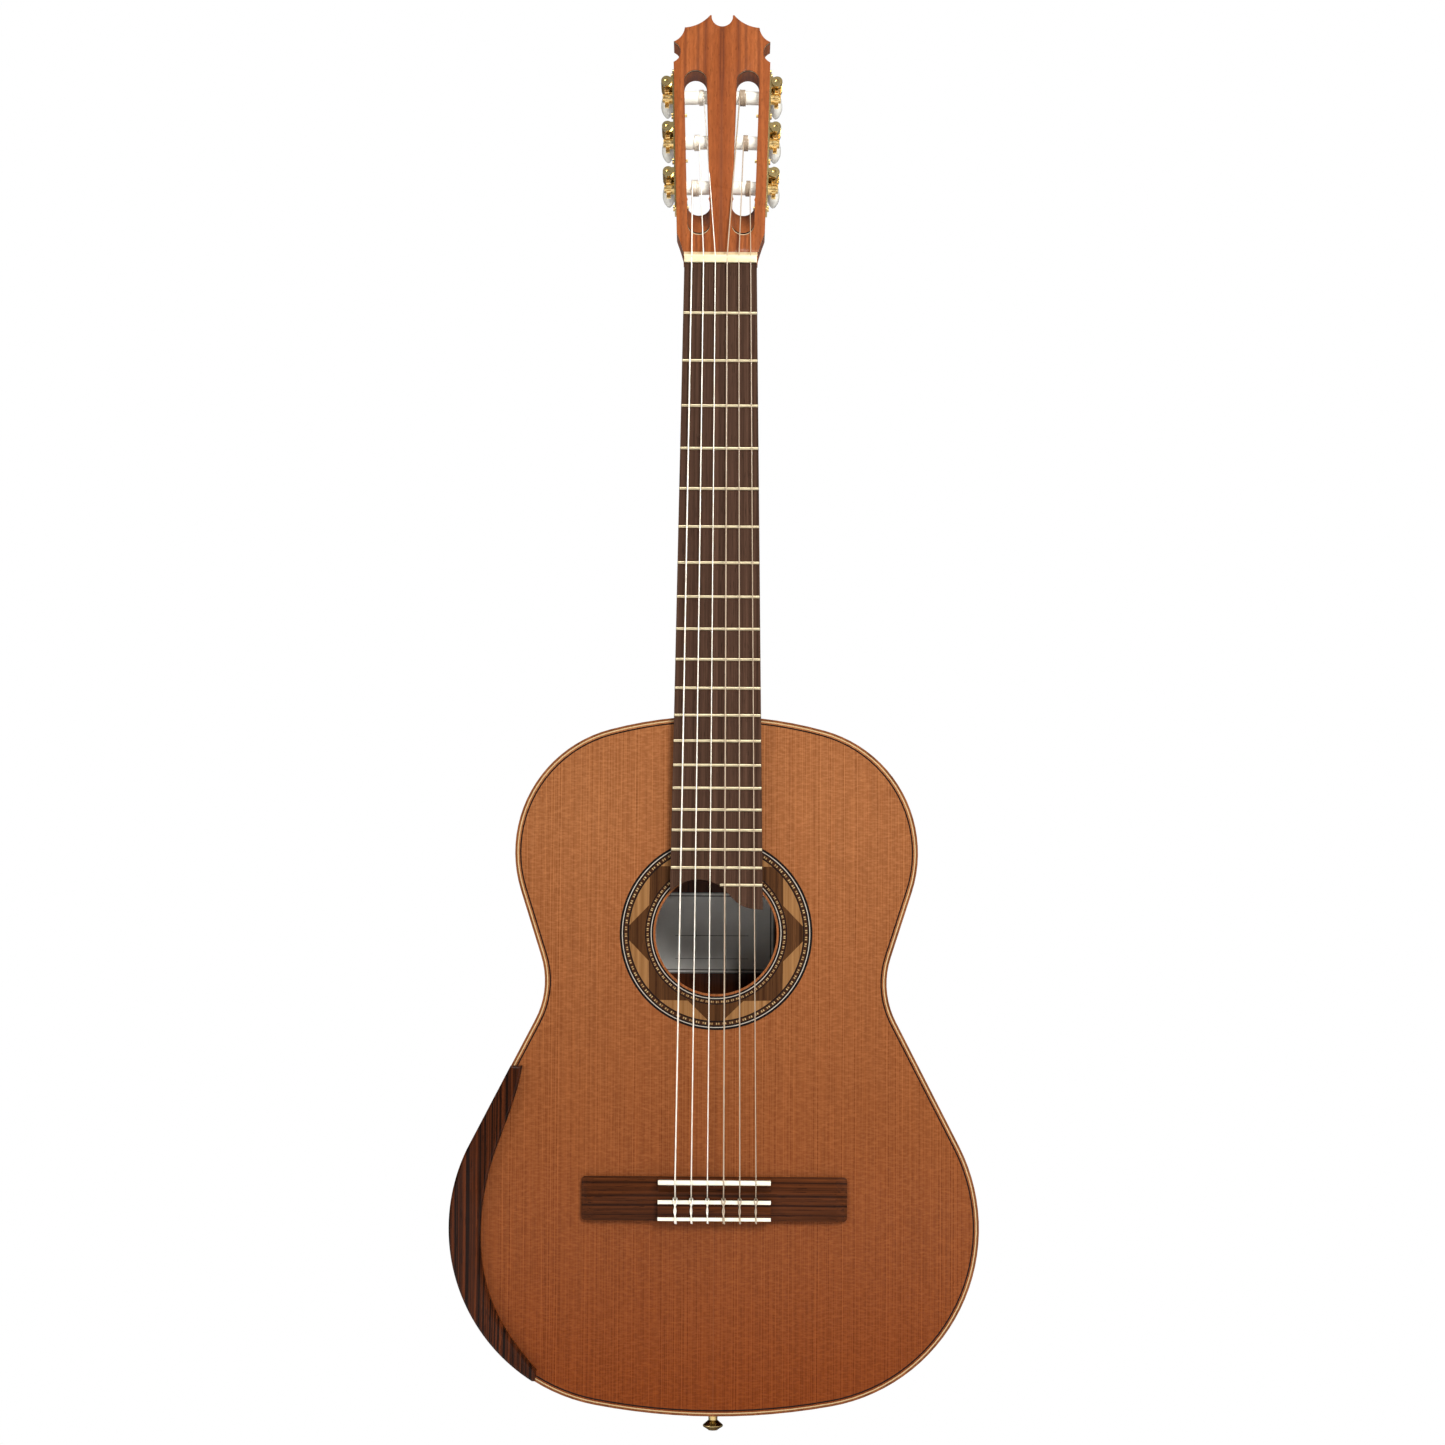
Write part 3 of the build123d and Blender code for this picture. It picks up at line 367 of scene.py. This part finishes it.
def rule(value, centre, half):
    """A drawn line: one where the value is within half of the centre."""
    away = calculate(tree, "ABSOLUTE", calculate(tree, "SUBTRACT", value, centre))
    return calculate(tree, "LESS_THAN", away, half)


rules = calculate(tree, "MAXIMUM", rule(gap, 0.0003, 0.0006), rule(gap, 0.0028, 0.0004))
writing = calculate(tree, "MAXIMUM", rule(height, -0.0190, 0.00016), rule(height, -0.0020, 0.00016))
writing = calculate(tree, "MULTIPLY", writing, calculate(tree, "LESS_THAN", across, 0.027))
rules = calculate(tree, "MAXIMUM", rules, writing)
fibres = speckle(tree, place, 700.0, 4.0, 0.6)
aged = speckle(tree, place, 30.0, 3.0, 0.6)
colour = blend_colours(tree, between(tree, aged, 0.3, 0.8), (0.92, 0.90, 0.86), (0.80, 0.77, 0.70))
colour = blend_colours(tree, calculate(tree, "MULTIPLY", fibres, 0.15), colour, (0.5, 0.4, 0.25))
colour = blend_colours(tree, calculate(tree, "MULTIPLY", rules, 0.85), colour, (0.06, 0.04, 0.03))
tree.links.new(colour, shader.inputs["Base Color"])
shader.inputs["Roughness"].default_value = 0.9
add_bump(tree, shader, fibres, 0.15)
finish_node("label", paper)

# ---- Rosette
# An inlaid ring round the soundhole: black and pale lines, two rings of tiny tiles, and a dark walnut
# band with eight tan wedges that leave a star between them, all level with the front and lacquered
# with it.
finish_node("rosette_lines_dark", black_line)


def from_hole(tree, place, middle):
    """How far a place lies across and above the soundhole's middle, and straight from it."""
    parts = tree.nodes.new("ShaderNodeSeparateXYZ")
    tree.links.new(place, parts.inputs[0])
    across, up = parts.outputs[0], calculate(tree, "SUBTRACT", parts.outputs[2], middle)
    across_squared = calculate(tree, "MULTIPLY", across, across)
    up_squared = calculate(tree, "MULTIPLY", up, up)
    return across, up, calculate(tree, "SQRT", calculate(tree, "ADD", across_squared, up_squared))


def near_rings(tree, radius, first, second, half):
    """One within half of either of two radii, nothing elsewhere."""
    outer = calculate(tree, "ABSOLUTE", calculate(tree, "SUBTRACT", radius, first))
    inner = calculate(tree, "ABSOLUTE", calculate(tree, "SUBTRACT", radius, second))
    return calculate(tree, "LESS_THAN", calculate(tree, "MINIMUM", outer, inner), half)


outermost_line = 0.0668
ring_line, tree, shader, place = start_material("rosette_line")
low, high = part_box("rosette_lines_light")
radius = from_hole(tree, place, high[2] - outermost_line)[2]
pale = near_rings(tree, radius, 0.0664, 0.0460, 0.00028)
colour = blend_colours(tree, pale, (0.005, 0.004, 0.004), (0.40, 0.35, 0.29))
tree.links.new(colour, shader.inputs["Base Color"])
shader.inputs["Roughness"].default_value = 0.35
finish_node("rosette_lines_light", ring_line)
walnut = wood("walnut_star", (0.105, 0.042, 0.014), (0.036, 0.013, 0.004), spacing=0.0022, wander=0.008,
              fibre=0.5, flow=0.4, pores=0.4, rough=0.38, coat=0.08)[0]
finish_node("rosette_dark_star", walnut)
maple = wood("maple_wedges", (0.29, 0.142, 0.052), (0.17, 0.075, 0.024), spacing=0.0012, wander=0.004,
             fibre=0.25, flow=0.3, rough=0.38, coat=0.08)[0]
finish_node("rosette_light_wedges", maple)

tile_count = 252
low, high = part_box("rosette_mosaic_rings")
tiles, tree, shader, place = start_material("mosaic")
across, up, radius = from_hole(tree, place, (low[2] + high[2]) / 2)
turn = calculate(tree, "MULTIPLY", calculate(tree, "ARCTAN2", across, up), tile_count / (2 * pi))
column = calculate(tree, "FLOOR", turn)
within = calculate(tree, "ABSOLUTE", calculate(tree, "SUBTRACT", calculate(tree, "FRACT", turn), 0.5))
square = near_rings(tree, radius, 0.06385, 0.0485, 0.00068)
square = calculate(tree, "MULTIPLY", square, calculate(tree, "LESS_THAN", within, 0.27))
# two pale tiles of every three; the large multiple of three keeps the column's number positive
thirds = calculate(tree, "MODULO", calculate(tree, "ADD", column, 3000.0), 3.0)
paired = calculate(tree, "GREATER_THAN", thirds, 0.5)
tone = speckle(tree, place, 900.0, 1.0, 0.5)
pale_tile = blend_colours(tree, between(tree, tone, 0.35, 0.65), (0.46, 0.32, 0.15), (0.22, 0.11, 0.04))
dark_tile = blend_colours(tree, tone, (0.012, 0.005, 0.003), (0.060, 0.022, 0.009))
colour = blend_colours(tree, calculate(tree, "MULTIPLY", square, paired), dark_tile, pale_tile)
tree.links.new(colour, shader.inputs["Base Color"])
shader.inputs["Roughness"].default_value = 0.35
shader.inputs["Coat Weight"].default_value = 0.08
shader.inputs["Coat Roughness"].default_value = 0.08
finish_node("rosette_mosaic_rings", tiles)

# ---- Armrest
# A curved rest of dark polished rosewood, glued along the bass side of the lower bout so that the
# forearm does not damp the front. Its outer edge is level with the side and its corners are rounded
# over.


def softened(name, new_name, width, segments=3, limit=35):
    """A copy of a node with flat faces made whole and every sharp edge rounded."""
    piece = merged_copy(name, new_name)
    shape = bmesh.new()
    shape.from_mesh(piece.data)
    bmesh.ops.dissolve_limit(shape, angle_limit=radians(1.2), verts=shape.verts, edges=shape.edges)
    shape.to_mesh(piece.data)
    shape.free()
    rounding = piece.modifiers.new("rounding", "BEVEL")
    rounding.width = width
    rounding.segments = segments
    rounding.limit_method = "ANGLE"
    rounding.angle_limit = radians(limit)
    rounding.harden_normals = True
    for face in piece.data.polygons:
        face.use_smooth = True
    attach(piece, "guitar")
    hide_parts(name)
    return piece


rosewood = dict(pores=0.55, fibre=0.5, flow=0.5)
armrest_wood = wood("armrest_rosewood", (0.105, 0.024, 0.006), (0.009, 0.003, 0.0015), spacing=0.0013,
                    wander=0.008, rings=(0.35, 0.6), rough=0.26, coat=0.12, **rosewood)[0]
armrest = softened("armrest", "armrest_rest", 0.0014, segments=4)
armrest.data.materials.append(armrest_wood)

# ---- Bridge
# One piece of rosewood, glued to the front, with its grain along its length. The block behind the
# saddle takes the string holes and has a strip of bone along each upper edge.
bridge_wood = wood("bridge_rosewood", (0.135, 0.036, 0.009), (0.014, 0.004, 0.0015), spacing=0.0011,
                   wander=0.007, rough=0.38, coat=0.05, turn=(0, radians(90), 0), **rosewood)[0]
bridge = softened("bridge", "bridge_body", 0.0008)
bridge.data.materials.append(bridge_wood)
finish_node("heel_cap", bridge_wood)

# ---- Bone parts
# Saddle, nut and the two strips on the tie block are bleached bone, polished to a soft shine.
bone, tree, shader, place = start_material("bone")
cloud = speckle(tree, place, 160.0, 3.0, 0.6)
pits = speckle(tree, place, 2600.0, 2.0, 0.5, (1, 1, 0.3))
colour = blend_colours(tree, between(tree, cloud, 0.3, 0.8), (0.84, 0.81, 0.68), (0.74, 0.68, 0.52))
pitted = calculate(tree, "MULTIPLY", between(tree, pits, 0.6, 0.8), 0.2)
colour = blend_colours(tree, pitted, colour, (0.55, 0.45, 0.3))
# the nut is a little yellower than the parts on the bridge
parts = tree.nodes.new("ShaderNodeSeparateXYZ")
tree.links.new(place, parts.inputs[0])
at_nut = calculate(tree, "GREATER_THAN", parts.outputs[2], -0.1)
colour = blend_colours(tree, at_nut, colour, (0.80, 0.74, 0.58), "MULTIPLY")
tree.links.new(colour, shader.inputs["Base Color"])
shader.inputs["Roughness"].default_value = 0.3
shader.inputs["Specular IOR Level"].default_value = 0.3
shader.inputs["Subsurface Weight"].default_value = 0.15
shader.inputs["Subsurface Radius"].default_value = (0.002, 0.0015, 0.001)
add_bump(tree, shader, pits, 0.05)
finish_node("tie_block_edging", bone)
for name in ("saddle", "nut"):
    piece = softened(name, name + "_bone", 0.0004)
    piece.data.materials.append(bone)

# ---- Neck and head
# The neck, heel and head are one piece of reddish cedar, lacquered, with a plate of striped wood on the
# head's face and a pale and a black veneer between the two.
neck_wood = wood("neck_wood", (0.34, 0.100, 0.028), (0.20, 0.050, 0.013), spacing=0.003, wander=0.012,
                 fibre=0.35, flow=0.35, pores=0.35, rough=0.34, coat=0.35)[0]
finish_node("neck", neck_wood)
veneer, tree, shader, place = start_material("head_veneer")
parts = tree.nodes.new("ShaderNodeSeparateXYZ")
tree.links.new(place, parts.inputs[0])
fold = radians(8.5)
behind = calculate(tree, "MULTIPLY", calculate(tree, "SUBTRACT", parts.outputs[1], 0.003), cos(fold))
lifted = calculate(tree, "MULTIPLY", calculate(tree, "SUBTRACT", parts.outputs[2], 0.008), sin(fold))
pale = calculate(tree, "LESS_THAN", calculate(tree, "SUBTRACT", behind, lifted), 0.0018)
streaks = speckle(tree, place, 900.0, 2.0, 0.6, (1, 1, 0.3))
pale_tone = blend_colours(tree, streaks, (0.48, 0.34, 0.19), (0.66, 0.52, 0.33))
black_tone = blend_colours(tree, streaks, (0.004, 0.003, 0.003), (0.012, 0.008, 0.006))
tree.links.new(blend_colours(tree, pale, black_tone, pale_tone), shader.inputs["Base Color"])
shader.inputs["Roughness"].default_value = 0.4
finish_node("head_veneer", veneer)

headplate_wood, tree, shader, place, colour = wood(
    "headplate_wood", (0.36, 0.106, 0.030), (0.19, 0.045, 0.012), spacing=0.0035, wander=0.014,
    fibre=0.4, flow=0.45, pores=0.35, rough=0.36, coat=0.10, mirrored=True, bump=0.04)
parts = tree.nodes.new("ShaderNodeSeparateXYZ")
tree.links.new(place, parts.inputs[0])
drift = speckle(tree, place, 22.0, 2.0, 0.5, (1, 1, 0.4))
sway = calculate(tree, "MULTIPLY", calculate(tree, "SUBTRACT", drift, 0.5), 0.006)
lane = calculate(tree, "ADD", parts.outputs[0], sway)
stripes = None
dark_lanes = ((0.0, 0.0016, 0.75), (0.0112, 0.0020, 0.6), (0.0168, 0.0016, 0.6), (0.0262, 0.0022, 0.4))
for centre, width, weight in dark_lanes:
    near = calculate(tree, "ABSOLUTE", calculate(tree, "SUBTRACT", lane, centre))
    band = calculate(tree, "MULTIPLY", between(tree, near, width, 0.0), weight, clamp=True)
    stripes = band if stripes is None else calculate(tree, "MAXIMUM", stripes, band)
colour = blend_colours(tree, stripes, colour, (0.085, 0.024, 0.012))
tree.links.new(colour, shader.inputs["Base Color"])
headplate = softened("headplate", "headplate_face", 0.0003)
headplate.data.materials.append(headplate_wood)

# ---- Fingerboard and frets
# A flat rosewood fingerboard, oiled rather than lacquered, with nickel silver frets pressed into its slots.
board_wood = wood("fingerboard_rosewood", (0.100, 0.050, 0.031), (0.036, 0.017, 0.010), spacing=0.0018,
                  wander=0.006, rings=(0.3, 0.7), fibre=0.55, flow=0.35, pores=0.5, rough=0.5, coat=0.0)[0]
finish_node("fingerboard", board_wood)


def metal(name, colour, dull, rough, wear=0.1):
    material, tree, shader, place = start_material(name)
    smear = speckle(tree, place, 240.0, 3.0, 0.6)
    handled = blend_colours(tree, between(tree, smear, 0.4, 0.8), colour, dull)
    tree.links.new(handled, shader.inputs["Base Color"])
    shader.inputs["Metallic"].default_value = 1.0
    dulled = calculate(tree, "ADD", calculate(tree, "MULTIPLY", smear, wear), rough)
    tree.links.new(dulled, shader.inputs["Roughness"])
    add_bump(tree, shader, speckle(tree, place, 1800.0, 2.0, 0.5), 0.03)
    return material


fret_metal = metal("fret_wire", (0.66, 0.56, 0.36), (0.50, 0.41, 0.26), 0.26)
finish_node("frets", fret_metal)

# ---- Tuning machines
# Gold plated side plates with lugs hold six worms; each worm turns a cut gear on the end of a string roller.
gold = metal("gold_plate", (0.90, 0.68, 0.30), (0.72, 0.50, 0.19), 0.16)
gear_gold = metal("gear_gold", (0.80, 0.58, 0.26), (0.50, 0.33, 0.13), 0.24)
ivory = line_wood("roller_ivory", (0.80, 0.76, 0.64), (0.90, 0.87, 0.78), 0.4)
for name in ("tuner_plates", "plate_screws", "strap_button"):
    finish_node(name, gold)
pearl, tree, shader, place = start_material("button_pearl")
swirl = speckle(tree, place, 90.0, 2.0, 0.6, (1, 0.6, 1.4))
sheets = tree.nodes.new("ShaderNodeTexVoronoi")
sheets.inputs["Scale"].default_value = 260.0
warp = blend_colours(tree, 0.06, place, swirl)
tree.links.new(warp, sheets.inputs["Vector"])
colour = blend_colours(tree, between(tree, swirl, 0.35, 0.7), (0.86, 0.84, 0.76), (0.66, 0.62, 0.52))
lustre = calculate(tree, "MULTIPLY", sheets.outputs["Distance"], 0.5)
colour = blend_colours(tree, lustre, colour, (0.93, 0.91, 0.86))
tree.links.new(colour, shader.inputs["Base Color"])
shader.inputs["Roughness"].default_value = 0.22
shader.inputs["Coat Weight"].default_value = 0.6
for key in range(1, 7):
    finish_node(f"gear_{key}", gear_gold)
    finish_node(f"worm_{key}", gold)
    finish_node(f"button_{key}", pearl)

# ---- Strings
# Three clear nylon trebles and three silk-cored basses wound with silvered wire. Each is tied round
# itself on the bridge, runs over saddle and nut, and is wound a few turns round its roller.


def cross_bands(tree, shader, place, pitch):
    """The fine turns of wire round a wound string, as a bump along its length."""
    along = tree.nodes.new("ShaderNodeSeparateXYZ")
    tree.links.new(place, along.inputs[0])
    turns = calculate(tree, "PINGPONG", along.outputs[2], pitch / 2)
    add_bump(tree, shader, calculate(tree, "MULTIPLY", turns, 2 / pitch), 0.3, 0.0001)


nylon, tree, shader, place = start_material("nylon_string")
cloud = speckle(tree, place, 60.0, 2.0, 0.5)
colour = blend_colours(tree, cloud, (0.34, 0.25, 0.17), (0.46, 0.36, 0.26))
tree.links.new(colour, shader.inputs["Base Color"])
shader.inputs["Roughness"].default_value = 0.18
shader.inputs["Coat Weight"].default_value = 0.6
wound, tree, shader, place = start_material("wound_string")
tarnish = between(tree, speckle(tree, place, 90.0, 3.0, 0.6), 0.4, 0.75)
colour = blend_colours(tree, tarnish, (0.95, 0.90, 0.80), (0.80, 0.70, 0.55))
tree.links.new(colour, shader.inputs["Base Color"])
shader.inputs["Metallic"].default_value = 0.55
shader.inputs["Roughness"].default_value = 0.34
cross_bands(tree, shader, place, 0.0004)


def laid_string(name, points, radius, body, finish):
    """A round string through the given bends, smooth and of one thickness."""
    line = bpy.data.curves.new(name, "CURVE")
    line.dimensions = "3D"
    line.bevel_depth = radius
    line.bevel_resolution = 2
    line.resolution_u = 5
    line.use_fill_caps = True
    run = line.splines.new("NURBS")
    run.points.add(len(points) - 1)
    for knot, (x, y, z) in zip(run.points, points):
        knot.co = (x, y, z, 1)
    run.order_u = 3
    run.use_endpoint_u = True
    holder = bpy.data.objects.new(name + "_line", line)
    bpy.context.scene.collection.objects.link(holder)
    bpy.context.view_layer.update()
    mesh = bpy.data.meshes.new_from_object(holder)
    bpy.data.objects.remove(holder)
    mesh.name = name
    mesh.materials.clear()
    mesh.materials.append(finish)
    mesh.polygons.foreach_set("use_smooth", [True] * len(mesh.polygons))
    piece = bpy.data.objects.new(name, mesh)
    bpy.context.scene.collection.objects.link(piece)
    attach(piece, body)
    return piece


roller_joints = {joint["name"]: joint for joint in frame["record"]["behaviour"]["joints"]}
roller_radius = 0.0051
leave_x = (0.0208, 0.0161, 0.0133)
tie_top, tie_front, tie_back = -0.0030, -0.6665, -0.6808
# the six strings lie a little to the treble side of the neck's middle
shift_nut, spread_nut = 0.00045, 0.0422
shift_saddle, spread_saddle = 0.0008, 0.0567
string_pieces = {"bass_strings": [], "treble_strings": []}
for number, diameter in zip(range(6, 0, -1), (1.09, 0.89, 0.76, 1.02, 0.82, 0.72)):
    r = diameter / 2000
    index = 6 - number
    x_nut = shift_nut + spread_nut * (index / 5 - 0.5)
    x = shift_saddle + spread_saddle * (index / 5 - 0.5)
    step = min(index, 5 - index)
    side = -1 if index < 3 else 1
    finish, group = (wound, "bass_strings") if index < 3 else (nylon, "treble_strings")
    hinge = roller_joints[f"roller_turn_{number}"]
    axis = Vector(hinge["axis"]).normalized()
    centre = Vector(hinge["pos_m"])
    centre = centre + axis * ((side * leave_x[step] - centre.x) / axis.x)
    nut_back = Vector((x_nut, -0.00165, 0.0058))
    around = roller_radius + r
    reach = centre - nut_back
    reach -= axis * reach.dot(axis)
    # the string meets the front of its roller on a tangent
    front = axis.cross(reach).normalized()
    if front.y > 0:
        front = -front
    share = around / reach.length
    touch = front * (1 - share ** 2) ** 0.5 - reach.normalized() * share
    climb = (reach.normalized() - touch * touch.dot(reach.normalized())).normalized()
    meet = centre + touch * around
    low, high = tie_top - r - 0.00002, tie_top - 2.8 * r
    w, b = max(2.2 * r, 0.0010), 1.1 * r
    path = [meet, nut_back, (x_nut, -0.0020, 0.0008), (x, -0.0069, -0.6535), (x, -0.0069, -0.6547),
            (x, 0.0013, tie_front + 0.0008), (x, 0.0020, tie_front - 0.001), (x, 0.0020, tie_back - 0.0004),
            (x, 0.0012, tie_back - 0.0012 - r), (x, tie_top - 0.3 * r, tie_back - 0.0012 - r),
            (x, low - 0.0001, tie_back - 0.0002), (x - b * 0.4, low, tie_back + 0.0025),
            (x + b, low, tie_back + 0.0060), (x + b, low, tie_back + 0.0078),
            (x - b * 0.3, low, tie_front - 0.0036),
            (x - w, low - 0.0002, tie_front - 0.0010), (x - w, low + 0.0002, tie_front + 0.0004 + r),
            (x - w, 0.0012, tie_front + 0.0006 + r), (x, 0.0010 + 2.6 * r, tie_front + 0.0009 + r),
            (x + w, 0.0012, tie_front + 0.0006 + r), (x + w, low + 0.0002, tie_front + 0.0004 + r),
            (x + w, low - 0.0002, tie_front - 0.0010), (x + b * 0.3, high, tie_front - 0.0036),
            (x - b, low, tie_back + 0.0078), (x - b, low, tie_back + 0.0060),
            (x + b * 0.6, high, tie_back + 0.0028), (x + b, low - 0.0001, tie_back + 0.0002),
            (x + b * 1.4, tie_top + 0.0006, tie_back - 0.0014 - r)]
    piece = laid_string(f"string_{number}", path, r, "guitar", finish)
    string_pieces[group].append(piece)
    # its turns on the roller lie side by side and end in the roller's hole
    drift = (-1 if step == 0 else 1) * 2.03 * r
    turns, coil = 4, []
    for stop in range(turns * 12 + 1):
        angle = 2 * pi * stop / 12
        outward = touch * cos(angle) + climb * sin(angle)
        coil.append(centre + axis * drift * angle / (2 * pi) + outward * around * 1.035)
    final = 2 * pi * turns + 0.6
    outward = touch * cos(final) + climb * sin(final)
    coil.append(centre + axis * drift * turns + outward * roller_radius * 0.8)
    piece = laid_string(f"winding_{number}", coil, r, f"roller_{number}", finish)
for group, pieces in string_pieces.items():
    for piece in pieces:
        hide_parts(group)

# ---- Rollers
# Each roller is a turned sleeve of ivory coloured plastic pressed on the gear's spindle; its ends are
# eased and it is a little slimmer where the string winds.
for number in range(1, 7):
    hinge = roller_joints[f"roller_turn_{number}"]
    axis, centre = Vector(hinge["axis"]).normalized(), Vector(hinge["pos_m"])
    reach = [(vertex.co - centre).dot(axis) for vertex in nodes[f"barrel_{number}"].data.vertices]
    start, stop = min(reach), max(reach)
    sleeve = bmesh.new()
    profile = []
    for place_on, radius in ((start, 0.0001), (start, 0.0046), (start + 0.0005, roller_radius),
                             (start + 0.0020, roller_radius), (start + 0.0030, roller_radius - 0.0002),
                             (stop - 0.0080, roller_radius - 0.0002), (stop - 0.0070, roller_radius),
                             (stop - 0.0004, roller_radius), (stop, 0.0047), (stop, 0.0001)):
        profile.append(sleeve.verts.new((place_on, radius, 0)))
    rim = [sleeve.edges.new(pair) for pair in zip(profile, profile[1:])]
    bmesh.ops.spin(sleeve, geom=profile + rim, cent=(0, 0, 0), axis=(1, 0, 0), angle=2 * pi, steps=40,
                   use_merge=True)
    bmesh.ops.remove_doubles(sleeve, verts=sleeve.verts, dist=1e-6)
    bmesh.ops.recalc_face_normals(sleeve, faces=sleeve.faces)
    turn = Vector((1, 0, 0)).rotation_difference(axis).to_matrix().to_4x4()
    bmesh.ops.transform(sleeve, matrix=Matrix.Translation(centre) @ turn, verts=sleeve.verts)
    mesh = bpy.data.meshes.new(f"roller_sleeve_{number}")
    sleeve.to_mesh(mesh)
    sleeve.free()
    mesh.materials.append(ivory)
    mesh.polygons.foreach_set("use_smooth", [True] * len(mesh.polygons))
    mesh.set_sharp_from_angle(angle=radians(35))
    piece = bpy.data.objects.new(f"roller_sleeve_{number}", mesh)
    bpy.context.scene.collection.objects.link(piece)
    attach(piece, f"roller_{number}")
    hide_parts(f"barrel_{number}")

# ---- Studio
# A pale floor, a white surround, and large soft lights; the camera stands a little over two metres in front.
floor_shape = bmesh.new()
bmesh.ops.create_grid(floor_shape, x_segments=1, y_segments=1, size=30.0,
                      matrix=Matrix.Translation((0, 0, cad_box[0][2] - 0.004)))
floor_mesh = bpy.data.meshes.new("floor")
floor_shape.to_mesh(floor_mesh)
floor_shape.free()
floor = bpy.data.objects.new("floor", floor_mesh)
bpy.context.scene.collection.objects.link(floor)
floor_paint = bpy.data.materials.new("floor_paint")
floor_paint.use_nodes = True
paint = floor_paint.node_tree
paint.nodes["Principled BSDF"].inputs["Base Color"].default_value = (0.92, 0.92, 0.92, 1)
paint.nodes["Principled BSDF"].inputs["Roughness"].default_value = 0.9
bright, either = paint.nodes.new("ShaderNodeEmission"), paint.nodes.new("ShaderNodeMixShader")
bright.inputs["Strength"].default_value = 1.0
paint.links.new(paint.nodes.new("ShaderNodeLightPath").outputs["Is Camera Ray"], either.inputs[0])
paint.links.new(paint.nodes["Principled BSDF"].outputs[0], either.inputs[1])
paint.links.new(bright.outputs[0], either.inputs[2])
paint.links.new(either.outputs[0], paint.nodes["Material Output"].inputs[0])
floor_mesh.materials.append(floor_paint)

world = bpy.data.worlds.new("surround")
bpy.context.scene.world = world
bpy.context.scene.view_settings.view_transform = "Standard"
world.use_nodes = True
sky = world.node_tree
sky.nodes.clear()
seen = sky.nodes.new("ShaderNodeBackground")
lit = sky.nodes.new("ShaderNodeBackground")
mix = sky.nodes.new("ShaderNodeMixShader")
seen.inputs["Color"].default_value = (1, 1, 1, 1)
seen.inputs["Strength"].default_value = 1.0
lit.inputs["Color"].default_value = (0.95, 0.97, 1, 1)
lit.inputs["Strength"].default_value = 0.14
sky.links.new(sky.nodes.new("ShaderNodeLightPath").outputs["Is Camera Ray"], mix.inputs[0])
sky.links.new(lit.outputs[0], mix.inputs[1])
sky.links.new(seen.outputs[0], mix.inputs[2])
sky.links.new(mix.outputs[0], sky.nodes.new("ShaderNodeOutputWorld").inputs[0])


def soft_light(name, spot, target, size, power, tint=(1, 1, 1)):
    lamp = bpy.data.lights.new(name, "AREA")
    lamp.shape = "RECTANGLE"
    lamp.size, lamp.size_y = size
    lamp.energy = power
    lamp.color = tint
    stand = bpy.data.objects.new(name, lamp)
    bpy.context.scene.collection.objects.link(stand)
    stand.matrix_world = (Matrix.Translation(spot)
                          @ (Vector(target) - Vector(spot)).to_track_quat("-Z", "Y").to_matrix().to_4x4())


soft_light("key_light", (0.95, -1.9, 0.62), (0, 0, -0.45), (0.9, 0.9), 60)
soft_light("fill_light", (-2.1, -1.5, 0.1), (0, 0, -0.45), (1.4, 1.8), 26)
soft_light("top_light", (0.2, -0.6, 1.9), (0, 0, -0.3), (1.8, 1.0), 34)

lens = bpy.data.cameras.new("camera")
lens.sensor_width = 36.0
lens.lens = 77.41
lens.clip_end = 100
camera = bpy.data.objects.new("camera", lens)
bpy.context.scene.collection.objects.link(camera)
tilt, roll = radians(3.7), radians(0.38)
forward = Vector((0, cos(tilt), sin(tilt)))
level, rise = Vector((1, 0, 0)), Vector((0, -sin(tilt), cos(tilt)))
right = level * cos(roll) + rise * sin(roll)
above = rise * cos(roll) - level * sin(roll)
camera.matrix_world = Matrix((
    (right.x, above.x, -forward.x, 0.00356), (right.y, above.y, -forward.y, -2.2),
    (right.z, above.z, -forward.z, -0.47236), (0, 0, 0, 1)))
bpy.context.scene.camera = camera
